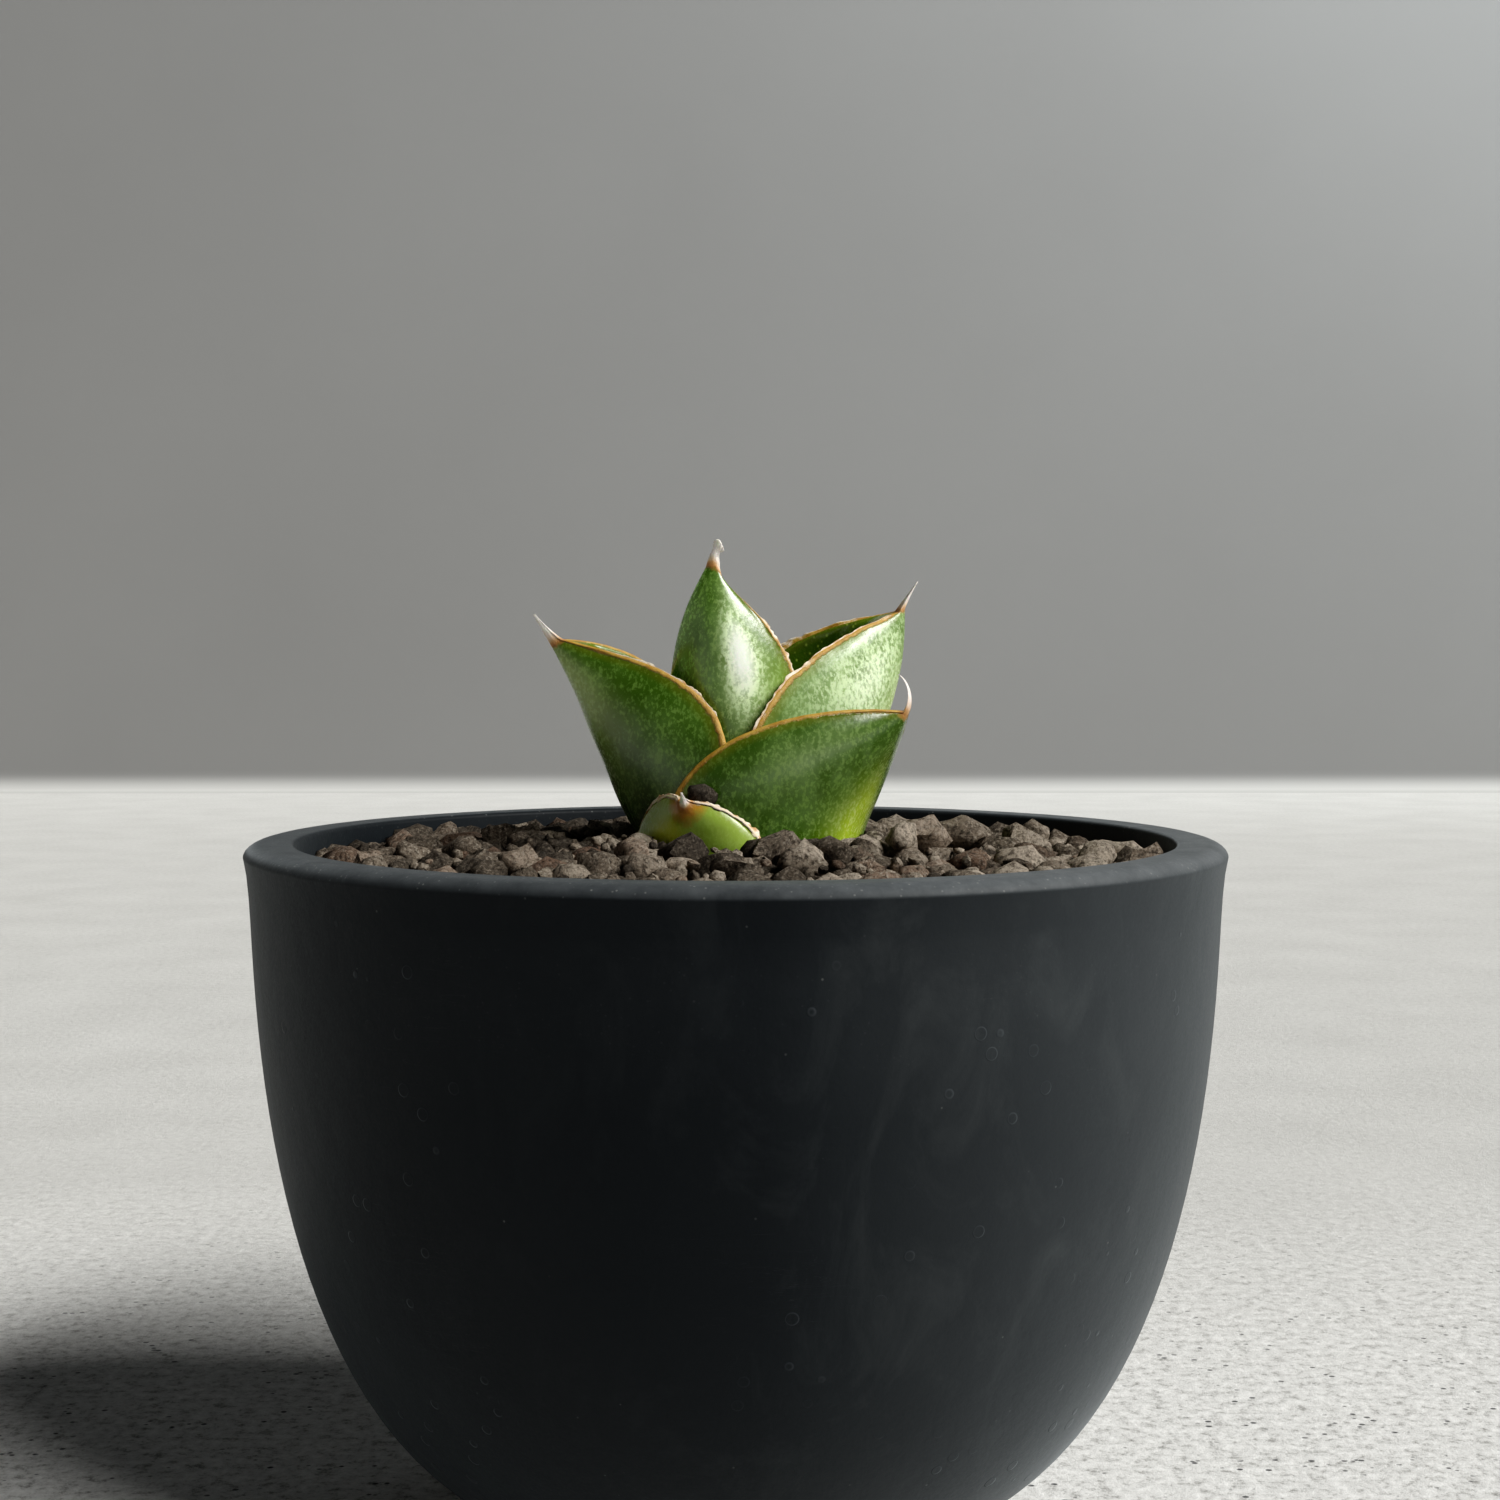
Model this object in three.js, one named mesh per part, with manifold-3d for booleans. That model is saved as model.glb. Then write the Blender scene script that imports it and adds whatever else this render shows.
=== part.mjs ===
// A young san luk snake plant in a round plastic pot, filled to the rim with coarse volcanic grit.
// Millimetres, +Z up, with the origin at the middle of the pot's foot.

import * as THREE from "three";
import { mergeVertices } from "three/addons/utils/BufferGeometryUtils.js";
import Module from "manifold-3d";

const wasm = await Module();
wasm.setup();

// Pot
const cornerRadius = 50; // the sharp outer corner just under the rim
const potHeight = 70; // foot to the rim's crest
const cornerDrop = 1.2; // the outer corner lies this far below the crest
const crestRadius = 48.5; // the flat of the rim ends here and the shoulder starts
const mouthRadius = 44.8; // inner edge of the rim
const mouthEase = 0.5; // the inner edge is eased by this much
const lipFlare = 0.6; // the wall swells out by this much at the corner
const lipFade = 2.5; // and loses the swell over about this depth
const bowlDepth = 70.2; // depth at which the side's curve would reach the axis
const bowlRound = 2.2; // how early the side starts to curve in
const bowlFull = 3.6; // how full the curve stays lower down
const cavityDepth = 65.2; // the same for the inside
const floorHeight = 6;
const footRadius = 22;
const footHeight = 1.6;
const footRecessRadius = 17;
const footRecessHeight = 1.2;
const drainRadius = 4.5;
const potSides = 56;

// Gaps between neighbours
const gap = 0.3;
const clearance = 0.4; // room round the leaves and roots in the soil

// Soil: a bed of grit whose loose grains show on top
const soilAtWall = -1.8; // height of the grains' tops near the wall, from the rim's crest
const soilAtPlant = 0.4; // and round the plant
const grainSpacing = 5; // distance between neighbouring grains
const grainStray = 0.2; // how far a grain strays from its place, as a share of the spacing
const grainUnevenness = 1.1; // tops differ in height by up to this much
const valleyDepth = 2; // the seams between grains lie this far below the tops
const shoulderShare = 0.66; // a grain's flat top reaches this share of the way to its seams
const shoulderDrop = 0.5; // and has dropped by this much there

// Plant: leaves in a spiral round a short rhizome; heights are taken from the rim's crest
const plantAxis = [1.4, 1.0];
const leafBase = -6; // height at which every leaf leaves the rhizome
const tipHalfWidth = 0.7;
const leafSections = 10; // steps along a leaf
const leafSteps = 8; // steps across a leaf
const rhizomeRadius = 11.5;
const rhizomeDepth = 8;
const rootCount = 5;

// Every leaf is a thick trough: its keel runs along the outside, and its two edges wrap the younger
// leaves. Curve points are [out, up] for the keel and [out, across, up] for an edge, measured from
// the plant's axis along the leaf's own direction, which "turn" gives in degrees from +X.
// The spine's steps are [out, across, up, thickness share] from the tip.
const leaves = [
  {
    name: "leaf_spear",
    turn: 118,
    keel: [[2.1, leafBase], [2.8, 2], [3, 9], [1.6, 15]],
    rightEdge: [[-0.8, 1.7, leafBase], [-1.2, 2.3, 3], [-0.6, 2.2, 10], [0.8, tipHalfWidth, 15.3]],
    leftEdge: [[-0.8, 1.7, leafBase], [-1.2, 2.3, 3], [-0.6, 2.2, 10], [0.8, tipHalfWidth, 15.3]],
    wall: 1.8,
    lip: 1,
    spine: [[-0.1, 0, 1.2, 0.6], [-0.2, 0, 2.4, 0.45]],
  },
  {
    name: "leaf_centre",
    turn: 226,
    keel: [[4.7, leafBase], [7.3, 3.1], [9.1, 18.6], [5.9, 28.1]],
    rightEdge: [[0.6, 3.75, leafBase], [-0.8, 7.5, 13.3], [-2.6, 7.9, 17.6], [5.2, tipHalfWidth, 26.2]],
    leftEdge: [[0.6, 3.75, leafBase], [1.9, 8.8, 6.1], [3.3, 10.2, 17.8], [5.2, tipHalfWidth, 26.2]],
    wall: 2.4,
    lip: 1.2,
    spine: [[-0.15, 0.15, 1.4, 0.62], [-0.3, 0.4, 3, 0.45]],
  },
  {
    name: "leaf_right",
    turn: 18,
    keel: [[7, leafBase], [9.8, 3], [17.2, 11.2], [17.3, 23.7]],
    rightEdge: [[1.2, 6.2, leafBase], [2.3, 9.5, 15.5], [-0.6, 9.2, 19.8], [16.5, tipHalfWidth, 23.4]],
    leftEdge: [[-2.4, 6, leafBase], [-6.3, 10.1, 11.9], [-0.9, 9.6, 17.9], [16.5, tipHalfWidth, 23.4]],
    wall: 2.6,
    lip: 1.2,
    spine: [[0.7, -0.2, 1.3, 0.62], [1.5, -0.5, 2.7, 0.45]],
  },
  {
    name: "leaf_left",
    turn: 183,
    keel: [[7.6, leafBase], [14.4, 1.7], [14.6, 8.3], [20.6, 19.8]],
    rightEdge: [[2.1, 6.6, leafBase], [3.7, 10.4, 9.6], [-2.2, 8.8, 15.4], [19.4, tipHalfWidth, 20.4]],
    leftEdge: [[1.6, 6.8, leafBase], [3.4, 10.5, 8.7], [4.8, 8.5, 19.4], [19.4, tipHalfWidth, 20.4]],
    wall: 2.5,
    lip: 1.2,
    spine: [[1, 0, 1.1, 0.62], [2.1, 0, 2.6, 0.45]],
  },
  {
    name: "leaf_front",
    turn: -25,
    keel: [[10.2, leafBase], [9.4, 0.2], [14.4, 6.2], [17.4, 12.6]],
    rightEdge: [[4.8, 8.9, leafBase], [7, 11.7, 0], [13.2, 7.6, 8.2], [17.3, tipHalfWidth, 13.1]],
    leftEdge: [[-1.2, 9, leafBase], [-9.9, 13.9, 4.7], [3.8, 12.1, 14.8], [17.3, tipHalfWidth, 13.1]],
    wall: 2.2,
    lip: 1.1,
    spine: [[0.4, 0, 1.3, 0.7], [0.2, 0, 2.7, 0.55], [-0.6, 0, 3.7, 0.45]],
  },
  {
    name: "leaf_back",
    turn: 98,
    keel: [[9.8, leafBase], [12.4, 0], [13.6, 5], [15.2, 11.6]],
    rightEdge: [[5.6, 8.6, leafBase], [7.4, 9.8, 1], [11.4, 6.5, 8.6], [14.5, tipHalfWidth, 12.1]],
    leftEdge: [[4.6, 8.4, leafBase], [5.5, 10, 2], [10.5, 7, 10], [14.5, tipHalfWidth, 12.1]],
    wall: 2.2,
    lip: 1.2,
    spine: [[0.7, 0, 1.2, 0.62], [1.3, 0, 2.6, 0.45]],
  },
  {
    name: "leaf_small",
    turn: 242,
    keel: [[12.2, leafBase], [13, -2], [13.6, 1], [14.1, 3.6]],
    rightEdge: [[8.3, 8, leafBase], [9.3, 7.9, -0.8], [10.9, 5.7, 4], [13.7, tipHalfWidth, 4.4]],
    leftEdge: [[8.6, 6.5, leafBase], [10.2, 10.4, -0.5], [10.6, 5, 6.7], [13.7, tipHalfWidth, 4.4]],
    wall: 1.8,
    lip: 1,
    spine: [[0.25, 0, 0.35, 0.7], [0.5, 0, 0.9, 0.5]],
  },
];

// Finishes
const potFinish = new THREE.MeshStandardMaterial({ color: 0x202428, roughness: 0.62, metalness: 0 });
const soilFinish = new THREE.MeshStandardMaterial({ color: 0x5f5243, roughness: 0.97, metalness: 0 });
const rhizomeFinish = new THREE.MeshStandardMaterial({ color: 0xb98d5b, roughness: 0.8, metalness: 0 });
const leafFinish = new THREE.MeshStandardMaterial({ color: 0x4c7a35, roughness: 0.42, metalness: 0 });

// A repeatable stream of numbers from 0 to 1.
function randomStream(seed) {
  let state = seed;
  return () => {
    state = (state * 16807) % 2147483647;
    return state / 2147483647;
  };
}

// Merges the shared vertices of a closed geometry and makes it a solid.
function solidFrom(geometry) {
  geometry.deleteAttribute("normal");
  geometry.deleteAttribute("uv");
  const merged = mergeVertices(geometry, 1e-4);
  return new wasm.Manifold(
    new wasm.Mesh({
      numProp: 3,
      vertProperties: merged.attributes.position.array,
      triVerts: new Uint32Array(merged.index.array),
    }),
  );
}

// Turns a solid back into a named mesh.
function meshFrom(solid, name, finish) {
  const { vertProperties, triVerts } = solid.getMesh();
  const geometry = new THREE.BufferGeometry();
  geometry.setAttribute("position", new THREE.BufferAttribute(vertProperties, 3));
  geometry.setIndex(new THREE.BufferAttribute(triVerts, 1));
  geometry.computeVertexNormals();
  const mesh = new THREE.Mesh(geometry, finish);
  mesh.name = name;
  return mesh;
}

// The one body that is left when loose scraps are dropped.
function largestBody(solid) {
  return solid.decompose().sort((a, b) => b.volume() - a.volume())[0];
}

// Spins a closed [radius, height] outline about the Z axis.
function turned(outline, sides) {
  const points = outline.map(([radius, height]) => new THREE.Vector2(radius, height));
  return solidFrom(new THREE.LatheGeometry(points, sides).rotateX(Math.PI / 2));
}

function bowlRadius(fullRadius, depth, fullDepth) {
  return fullRadius * (1 - (depth / fullDepth) ** bowlRound) ** (1 / bowlFull);
}

function potRadius(depth) {
  const flare = lipFlare * Math.exp((cornerDrop - depth) / lipFade);
  return bowlRadius(cornerRadius - lipFlare, depth, bowlDepth) + flare;
}

// Depths from "first" to "last", closer together towards the deep end, where the bowl curves most.
function depthSteps(first, last, count) {
  const steps = [];
  for (let i = 0; i <= count; i += 1) {
    const share = i / count;
    steps.push(first + (last - first) * Math.sin((share * Math.PI) / 2) ** 1.2);
  }
  return steps;
}

function cavityDepths() {
  return depthSteps(mouthEase, potHeight - floorHeight, 9);
}

function makePot() {
  const outside = depthSteps(cornerDrop, potHeight - footHeight, 13);
  const outline = [
    [drainRadius, footRecessHeight],
    [footRecessRadius, footRecessHeight],
    [footRecessRadius, 0],
    [footRadius, 0],
  ];
  for (const depth of outside.reverse()) {
    outline.push([potRadius(depth), potHeight - depth]);
  }
  outline.push([crestRadius, potHeight]);
  outline.push([mouthRadius + mouthEase, potHeight]);
  for (const depth of cavityDepths()) {
    outline.push([bowlRadius(mouthRadius, depth, cavityDepth), potHeight - depth]);
  }
  outline.push([drainRadius, floorHeight]);
  outline.push(outline[0]);
  return turned(outline, potSides);
}

// Height of the grains' tops at a distance from the pot's axis.
function soilHeight(radius) {
  const share = THREE.MathUtils.smoothstep(radius, 14, 40);
  return potHeight + soilAtPlant + (soilAtWall - soilAtPlant) * share;
}

// The heap that the soil is cut from fills the cavity, one gap inside the pot's wall and floor.
function makeHeap() {
  const outline = [[0, floorHeight + gap]];
  for (const depth of cavityDepths().reverse()) {
    outline.push([bowlRadius(mouthRadius, depth, cavityDepth) - gap, potHeight - depth + gap]);
  }
  outline.push([mouthRadius - gap, potHeight + 5]);
  outline.push([0, potHeight + 5]);
  return turned(outline, potSides);
}

// The grains stand on a triangular lattice of places, each strayed a little. A grain is a six-sided
// column that ends in a seam, a shoulder and a cap, and it shares its seams with its neighbours.
function makeGrains() {
  const draw = randomStream(4711);
  const reach = Math.ceil(mouthRadius / grainSpacing / 0.8) + 1;
  const places = new Map();
  for (let row = -reach; row <= reach; row += 1) {
    for (let column = -reach; column <= reach; column += 1) {
      const x = grainSpacing * (column + row / 2 + grainStray * (2 * draw() - 1));
      const y = grainSpacing * (row * Math.sqrt(0.75) + grainStray * (2 * draw() - 1));
      const up = grainUnevenness * (draw() - 0.5);
      places.set(`${column},${row}`, new THREE.Vector3(x, y, soilHeight(Math.hypot(x, y)) + up));
    }
  }
  const place = (column, row) => places.get(`${column},${row}`);
  const around = [[1, 0], [0, 1], [-1, 1], [-1, 0], [0, -1], [1, -1]];
  const grains = [];
  for (let row = 1 - reach; row < reach; row += 1) {
    for (let column = 1 - reach; column < reach; column += 1) {
      const middle = place(column, row);
      if (Math.hypot(middle.x, middle.y) > mouthRadius + 0.6 * grainSpacing) continue;
      const seams = around.map(([right, up], i) => {
        const [nextRight, nextUp] = around[(i + 1) % 6];
        const seam = middle.clone().add(place(column + right, row + up));
        seam.add(place(column + nextRight, row + nextUp)).divideScalar(3);
        seam.z -= valleyDepth;
        return seam;
      });
      grains.push(makeGrain(middle, seams, draw));
    }
  }
  return grains;
}

// One grain: a cylinder of six sides whose rings are moved to the column's foot, seam and shoulder.
function makeGrain(middle, seams, draw) {
  const column = new THREE.CylinderGeometry(1, 1, 2, 6, 2);
  const corners = column.attributes.position;
  const shoulders = seams.map((seam) => {
    const share = shoulderShare * (0.85 + 0.3 * draw());
    const shoulder = middle.clone().lerp(seam, share);
    shoulder.z = middle.z - shoulderDrop * 2 * draw();
    return shoulder;
  });
  for (let i = 0; i < corners.count; i += 1) {
    const side = Math.round((Math.atan2(corners.getX(i), corners.getZ(i)) / Math.PI) * 3 + 6) % 6;
    const inMiddle = Math.hypot(corners.getX(i), corners.getZ(i)) < 0.5;
    let spot = inMiddle ? middle : shoulders[side];
    if (corners.getY(i) < 0.5 && !inMiddle) spot = seams[side];
    const height = corners.getY(i) < -0.5 ? 0 : spot.z;
    corners.setXYZ(i, spot.x, spot.y, height);
  }
  return solidFrom(column);
}

// The leaf's own curves.
function leafCurves(leaf) {
  const edge = (points) => new THREE.CubicBezierCurve3(...points.map((p) => new THREE.Vector3(...p)));
  const keel = leaf.keel.map(([out, up]) => new THREE.Vector3(out, 0, up));
  return {
    keel: new THREE.CubicBezierCurve3(...keel),
    rightEdge: edge(leaf.rightEdge),
    leftEdge: edge(leaf.leftEdge),
  };
}

// A point of a leaf's skin at "along" (0 base, 1 tip) and "side" (-1 left edge, 1 right edge), as
// [out, across, up]. The outside swings from the keel to the edges on a quarter of an ellipse, and
// the groove does the same from a point one wall inside the keel.
function leafSkin(leaf, curves, along, side, inGroove) {
  const keel = curves.keel.getPoint(along);
  const right = curves.rightEdge.getPoint(along);
  const left = curves.leftEdge.getPoint(along);
  const edge = side < 0 ? left : right;
  const start = keel.clone();
  let width = edge.y;
  if (inGroove) {
    const inward = right.clone().add(left).multiplyScalar(0.5).setY(0).sub(keel);
    const depth = inward.length();
    const open = 1 - THREE.MathUtils.smoothstep(along, 0.7, 1);
    const grooveDepth = Math.max(0, depth - leaf.wall * (1 - 0.5 * along * along)) * open;
    start.addScaledVector(inward.normalize(), depth - grooveDepth);
    width -= Math.min(leaf.lip, 0.45 * width);
  }
  const swing = (Math.abs(side) * Math.PI) / 2;
  const inShare = 1 - Math.cos(swing);
  return new THREE.Vector3(
    start.x + (edge.x - start.x) * inShare,
    Math.sign(side) * width * Math.sin(swing),
    start.z + (edge.z - start.z) * inShare,
  );
}

// Moves a leaf's own point into the pot's frame.
function placed(leaf, point) {
  const turn = THREE.MathUtils.degToRad(leaf.turn);
  return new THREE.Vector3(
    plantAxis[0] + point.x * Math.cos(turn) - point.y * Math.sin(turn),
    plantAxis[1] + point.x * Math.sin(turn) + point.y * Math.cos(turn),
    potHeight + point.z,
  );
}

// A leaf is a box bent into shape: its width runs across the leaf, its height along it, its front
// face is the outside and its back face the groove. The rows past the tip shrink into the spine.
function makeLeaf(leaf) {
  const curves = leafCurves(leaf);
  const rows = leafSections + leaf.spine.length;
  const box = new THREE.BoxGeometry(2, rows, 2, leafSteps, rows, 1);
  const corners = box.attributes.position;
  const tipMiddle = curves.keel.getPoint(1).lerp(curves.rightEdge.getPoint(1).setY(0), 0.5);
  for (let i = 0; i < corners.count; i += 1) {
    const row = Math.round(corners.getY(i) + rows / 2);
    const along = Math.min(1, row / leafSections);
    const point = leafSkin(leaf, curves, along, corners.getX(i), corners.getZ(i) < 0);
    if (row > leafSections) {
      const [out, across, up, share] = leaf.spine[row - leafSections - 1];
      point.sub(tipMiddle).multiplyScalar(share).add(tipMiddle);
      point.add(new THREE.Vector3(out, across, up));
    }
    const spot = placed(leaf, point);
    corners.setXYZ(i, spot.x, spot.y, spot.z);
  }
  return solidFrom(box);
}

// The room that a leaf takes in the soil: its outside, one clearance larger all round, filled in to
// the plant's axis or to the edge that reaches past it.
function makeLeafRoom(leaf) {
  const curves = leafCurves(leaf);
  const box = new THREE.BoxGeometry(2, leafSections, 2, leafSteps, leafSections, 1);
  const corners = box.attributes.position;
  for (let i = 0; i < corners.count; i += 1) {
    const along = corners.getY(i) / leafSections + 0.5;
    const side = corners.getX(i);
    const point = leafSkin(leaf, curves, along, side, false);
    const run = leafSkin(leaf, curves, along, Math.min(1, side + 0.05), false);
    run.sub(leafSkin(leaf, curves, along, Math.max(-1, side - 0.05), false)).setZ(0).normalize();
    point.x += clearance * run.y;
    point.y -= clearance * run.x;
    if (Math.abs(side) === 1) point.addScaledVector(run, side * clearance);
    if (corners.getZ(i) < 0) {
      const furthest = Math.min(0, curves.rightEdge.getPoint(along).x, curves.leftEdge.getPoint(along).x);
      point.lerp(new THREE.Vector3(furthest - clearance, 0, point.z), 0.95);
    }
    if (along === 0) point.z -= 1;
    const spot = placed(leaf, point);
    corners.setXYZ(i, spot.x, spot.y, spot.z);
  }
  return solidFrom(box);
}

// A tapered stick along a curve: a cylinder whose rings are moved to the curve.
function bentTaper(curve, thick, thin, sides, steps) {
  const stick = new THREE.CylinderGeometry(1, 1, steps, sides, steps);
  const corners = stick.attributes.position;
  const up = new THREE.Vector3(0, 0, 1);
  for (let i = 0; i < corners.count; i += 1) {
    const share = 0.5 - corners.getY(i) / steps;
    const radius = thick + (thin - thick) * share;
    const ahead = curve.getTangent(share).normalize();
    const across = new THREE.Vector3().crossVectors(up, ahead).normalize();
    const over = new THREE.Vector3().crossVectors(ahead, across);
    const spot = curve.getPoint(share);
    spot.addScaledVector(across, -corners.getX(i) * radius);
    spot.addScaledVector(over, -corners.getZ(i) * radius);
    corners.setXYZ(i, spot.x, spot.y, spot.z);
  }
  return solidFrom(stick);
}

// The rhizome's stub with its fleshy roots; "grow" makes it larger all round, for its room in the soil.
function makeRhizome(grow) {
  const top = potHeight + leafBase - gap;
  const bottom = top - rhizomeDepth - grow;
  const stub = turned(
    [
      [0, bottom],
      [rhizomeRadius * 0.55 + grow, bottom],
      [rhizomeRadius * 0.9 + grow, top - rhizomeDepth * 0.55 - grow],
      [rhizomeRadius + grow, top - rhizomeDepth * 0.2 - grow],
      [rhizomeRadius + grow, top + grow],
      [0, top + grow],
    ],
    24,
  ).translate([plantAxis[0], plantAxis[1], 0]);
  const draw = randomStream(97);
  const parts = [stub];
  for (let i = 0; i < rootCount; i += 1) {
    const angle = ((i + 0.4 * (draw() - 0.5)) / rootCount) * 2 * Math.PI;
    const spread = 15 + 6 * draw();
    const drop = 22 + 10 * draw();
    const at = (out, down) =>
      new THREE.Vector3(
        plantAxis[0] + out * Math.cos(angle),
        plantAxis[1] + out * Math.sin(angle),
        potHeight + leafBase - down,
      );
    const end = at(spread, drop + 6 + grow);
    const route = new THREE.CubicBezierCurve3(at(5, 4), at(spread, 9), at(spread, drop * 0.6), end);
    parts.push(bentTaper(route, 1.5 + grow, 0.7 + grow, 6, 5));
  }
  return wasm.Manifold.union(parts);
}

function makeSoil() {
  const heap = makeHeap().intersect(wasm.Manifold.union(makeGrains()));
  const room = wasm.Manifold.union([makeRhizome(clearance), ...leaves.map(makeLeafRoom)]);
  return largestBody(heap.subtract(room));
}

const plant = new THREE.Group();
for (const leaf of leaves) {
  plant.add(meshFrom(makeLeaf(leaf), leaf.name, leafFinish));
}
plant.add(meshFrom(makeRhizome(0), "rhizome_and_roots", rhizomeFinish));

const pottedPlant = new THREE.Group();
pottedPlant.add(meshFrom(makePot(), "pot", potFinish));
pottedPlant.add(meshFrom(makeSoil(), "soil", soilFinish));
pottedPlant.add(plant);

export default pottedPlant;
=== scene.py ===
import bpy
import math
import random
from mathutils import Matrix, Vector, noise
from mathutils.bvhtree import BVHTree


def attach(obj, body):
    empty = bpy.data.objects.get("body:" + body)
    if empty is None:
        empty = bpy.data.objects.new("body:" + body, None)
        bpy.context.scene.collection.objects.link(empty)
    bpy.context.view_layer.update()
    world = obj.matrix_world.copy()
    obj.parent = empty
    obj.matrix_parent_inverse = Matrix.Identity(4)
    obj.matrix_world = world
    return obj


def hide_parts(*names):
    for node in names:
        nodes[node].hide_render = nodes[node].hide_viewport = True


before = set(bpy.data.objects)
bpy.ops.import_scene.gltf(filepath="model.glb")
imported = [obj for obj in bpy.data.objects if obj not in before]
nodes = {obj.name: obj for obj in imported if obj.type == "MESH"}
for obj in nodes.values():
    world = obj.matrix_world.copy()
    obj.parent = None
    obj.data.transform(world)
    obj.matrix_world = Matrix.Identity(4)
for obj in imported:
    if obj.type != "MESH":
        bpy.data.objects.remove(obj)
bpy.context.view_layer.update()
mm = 0.001
print("frame loaded")


# small helpers

def deselectAll():
    bpy.ops.object.select_all(action="DESELECT")


def editMode(on):
    bpy.ops.object.mode_set(mode="EDIT" if on else "OBJECT")


def activate(piece):
    deselectAll()
    piece.select_set(True)
    bpy.context.view_layer.objects.active = piece


def bakePlace(piece):
    activate(piece)
    bpy.ops.object.transform_apply(location=True, rotation=True, scale=True)


def facesOutward(piece):
    activate(piece)
    editMode(True)
    bpy.ops.mesh.select_all(action="SELECT")
    bpy.ops.mesh.normals_make_consistent(inside=False)
    editMode(False)


def applyModifiers(piece):
    activate(piece)
    for modifier in list(piece.modifiers):
        bpy.ops.object.modifier_apply(modifier=modifier.name)


# the piece that was just added or joined, under its own name
def named(name):
    piece = bpy.context.active_object
    piece.name = name
    return piece


# edges can be picked, and none is
def clearEdges():
    editMode(True)
    bpy.ops.mesh.select_mode(type="EDGE")
    bpy.ops.mesh.select_all(action="DESELECT")
    editMode(False)


def joinAll(pieces, name):
    deselectAll()
    for piece in pieces:
        piece.select_set(True)
    bpy.context.view_layer.objects.active = pieces[0]
    bpy.ops.object.join()
    return named(name)


def wear(piece, material):
    piece.data.materials.clear()
    piece.data.materials.append(material)


def clamp(value, low=0.0, high=1.0):
    return max(low, min(high, value))


def smooth(value, low, high):
    share = clamp((value - low) / (high - low))
    return share * share * (3 - 2 * share)


def wobble(x, y, z):
    return noise.noise(Vector((x, y, z)))


def pointAttribute(piece, name, values):
    attribute = piece.data.attributes.new(name, "FLOAT", "POINT")
    attribute.data.foreach_set("value", values)


# a tube of rings, cut from a cylinder, whose points go where "place" says; it also returns
# each point's ring and side
def shapedTube(name, sides, rings, place):
    bpy.ops.mesh.primitive_cylinder_add(vertices=sides, radius=1, depth=rings, end_fill_type="NGON")
    tube = named(name)
    clearEdges()
    points = tube.data.vertices
    for edge in tube.data.edges:
        first, second = edge.vertices
        edge.select = abs(points[first].co.z - points[second].co.z) > 0.5
    editMode(True)
    bpy.ops.mesh.subdivide(number_cuts=rings - 1)
    editMode(False)
    spots = []
    for point in tube.data.vertices:
        ring = round(point.co.z + rings / 2)
        side = round((0.25 - math.atan2(point.co.y, point.co.x) / math.tau) * sides) % sides
        spots.append((ring, side))
        point.co = place(ring, side)
    facesOutward(tube)
    bpy.ops.object.shade_smooth()
    return tube, spots


# material helpers: every pattern is measured in millimetres on Object coordinates, and a helper
# without a tree adds to its first socket's

def startMaterial(name, constants):
    material = bpy.data.materials.new(name)
    material.use_nodes = True
    tree = material.node_tree
    shader = tree.nodes["Principled BSDF"]
    for key, value in constants.items():
        shader.inputs[key].default_value = value
    return material, tree, shader


def feed(shader, key, value):
    shader.id_data.links.new(value, shader.inputs[key])


def addNode(tree, kind, inputs=None, **settings):
    made = tree.nodes.new(kind)
    for key, value in settings.items():
        setattr(made, key, value)
    for key, value in (inputs or {}).items():
        if isinstance(value, bpy.types.NodeSocket):
            tree.links.new(value, made.inputs[key])
        else:
            made.inputs[key].default_value = value
    return made


def mmCoords(tree, stretch=(1, 1, 1)):
    coords = addNode(tree, "ShaderNodeTexCoord")
    inputs = {"Vector": coords.outputs["Object"], "Scale": [s / mm for s in stretch]}
    return addNode(tree, "ShaderNodeMapping", inputs).outputs[0]


def noiseOf(coords, scale, detail=3, rough=0.55, warp=0):
    inputs = {"Vector": coords, "Scale": scale, "Detail": detail, "Roughness": rough, "Distortion": warp}
    return addNode(coords.id_data, "ShaderNodeTexNoise", inputs).outputs["Fac"]


def cellsOf(coords, scale):
    made = addNode(coords.id_data, "ShaderNodeTexVoronoi", {"Vector": coords, "Scale": scale})
    return made.outputs["Distance"]


def fieldOf(tree, name):
    return addNode(tree, "ShaderNodeAttribute", attribute_name=name).outputs["Fac"]


def axisOf(vector, axis):
    return addNode(vector.id_data, "ShaderNodeSeparateXYZ", {0: vector}).outputs[axis]


def rangeOf(value, low, high, toLow=0, toHigh=1, **settings):
    inputs = {"Value": value, "From Min": low, "From Max": high, "To Min": toLow, "To Max": toHigh}
    return addNode(value.id_data, "ShaderNodeMapRange", inputs, **settings).outputs[0]


def mathOf(first, second, how):
    return addNode(first.id_data, "ShaderNodeMath", {0: first, 1: second}, operation=how).outputs[0]


def sumOf(first, second):
    return mathOf(first, second, "ADD")


def productOf(first, second):
    return mathOf(first, second, "MULTIPLY")


def blendOf(share, first, second):
    inputs = {0: share}
    for index, value in ((6, first), (7, second)):
        inputs[index] = value if isinstance(value, bpy.types.NodeSocket) else (*value, 1)
    return addNode(share.id_data, "ShaderNodeMix", inputs, data_type="RGBA").outputs[2]


def bumpOf(height, strength, distance, normal=None):
    inputs = {"Height": height, "Strength": strength, "Distance": distance}
    if normal:
        inputs["Normal"] = normal
    return addNode(height.id_data, "ShaderNodeBump", inputs).outputs[0]


# camera, floor, wall and light

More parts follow.
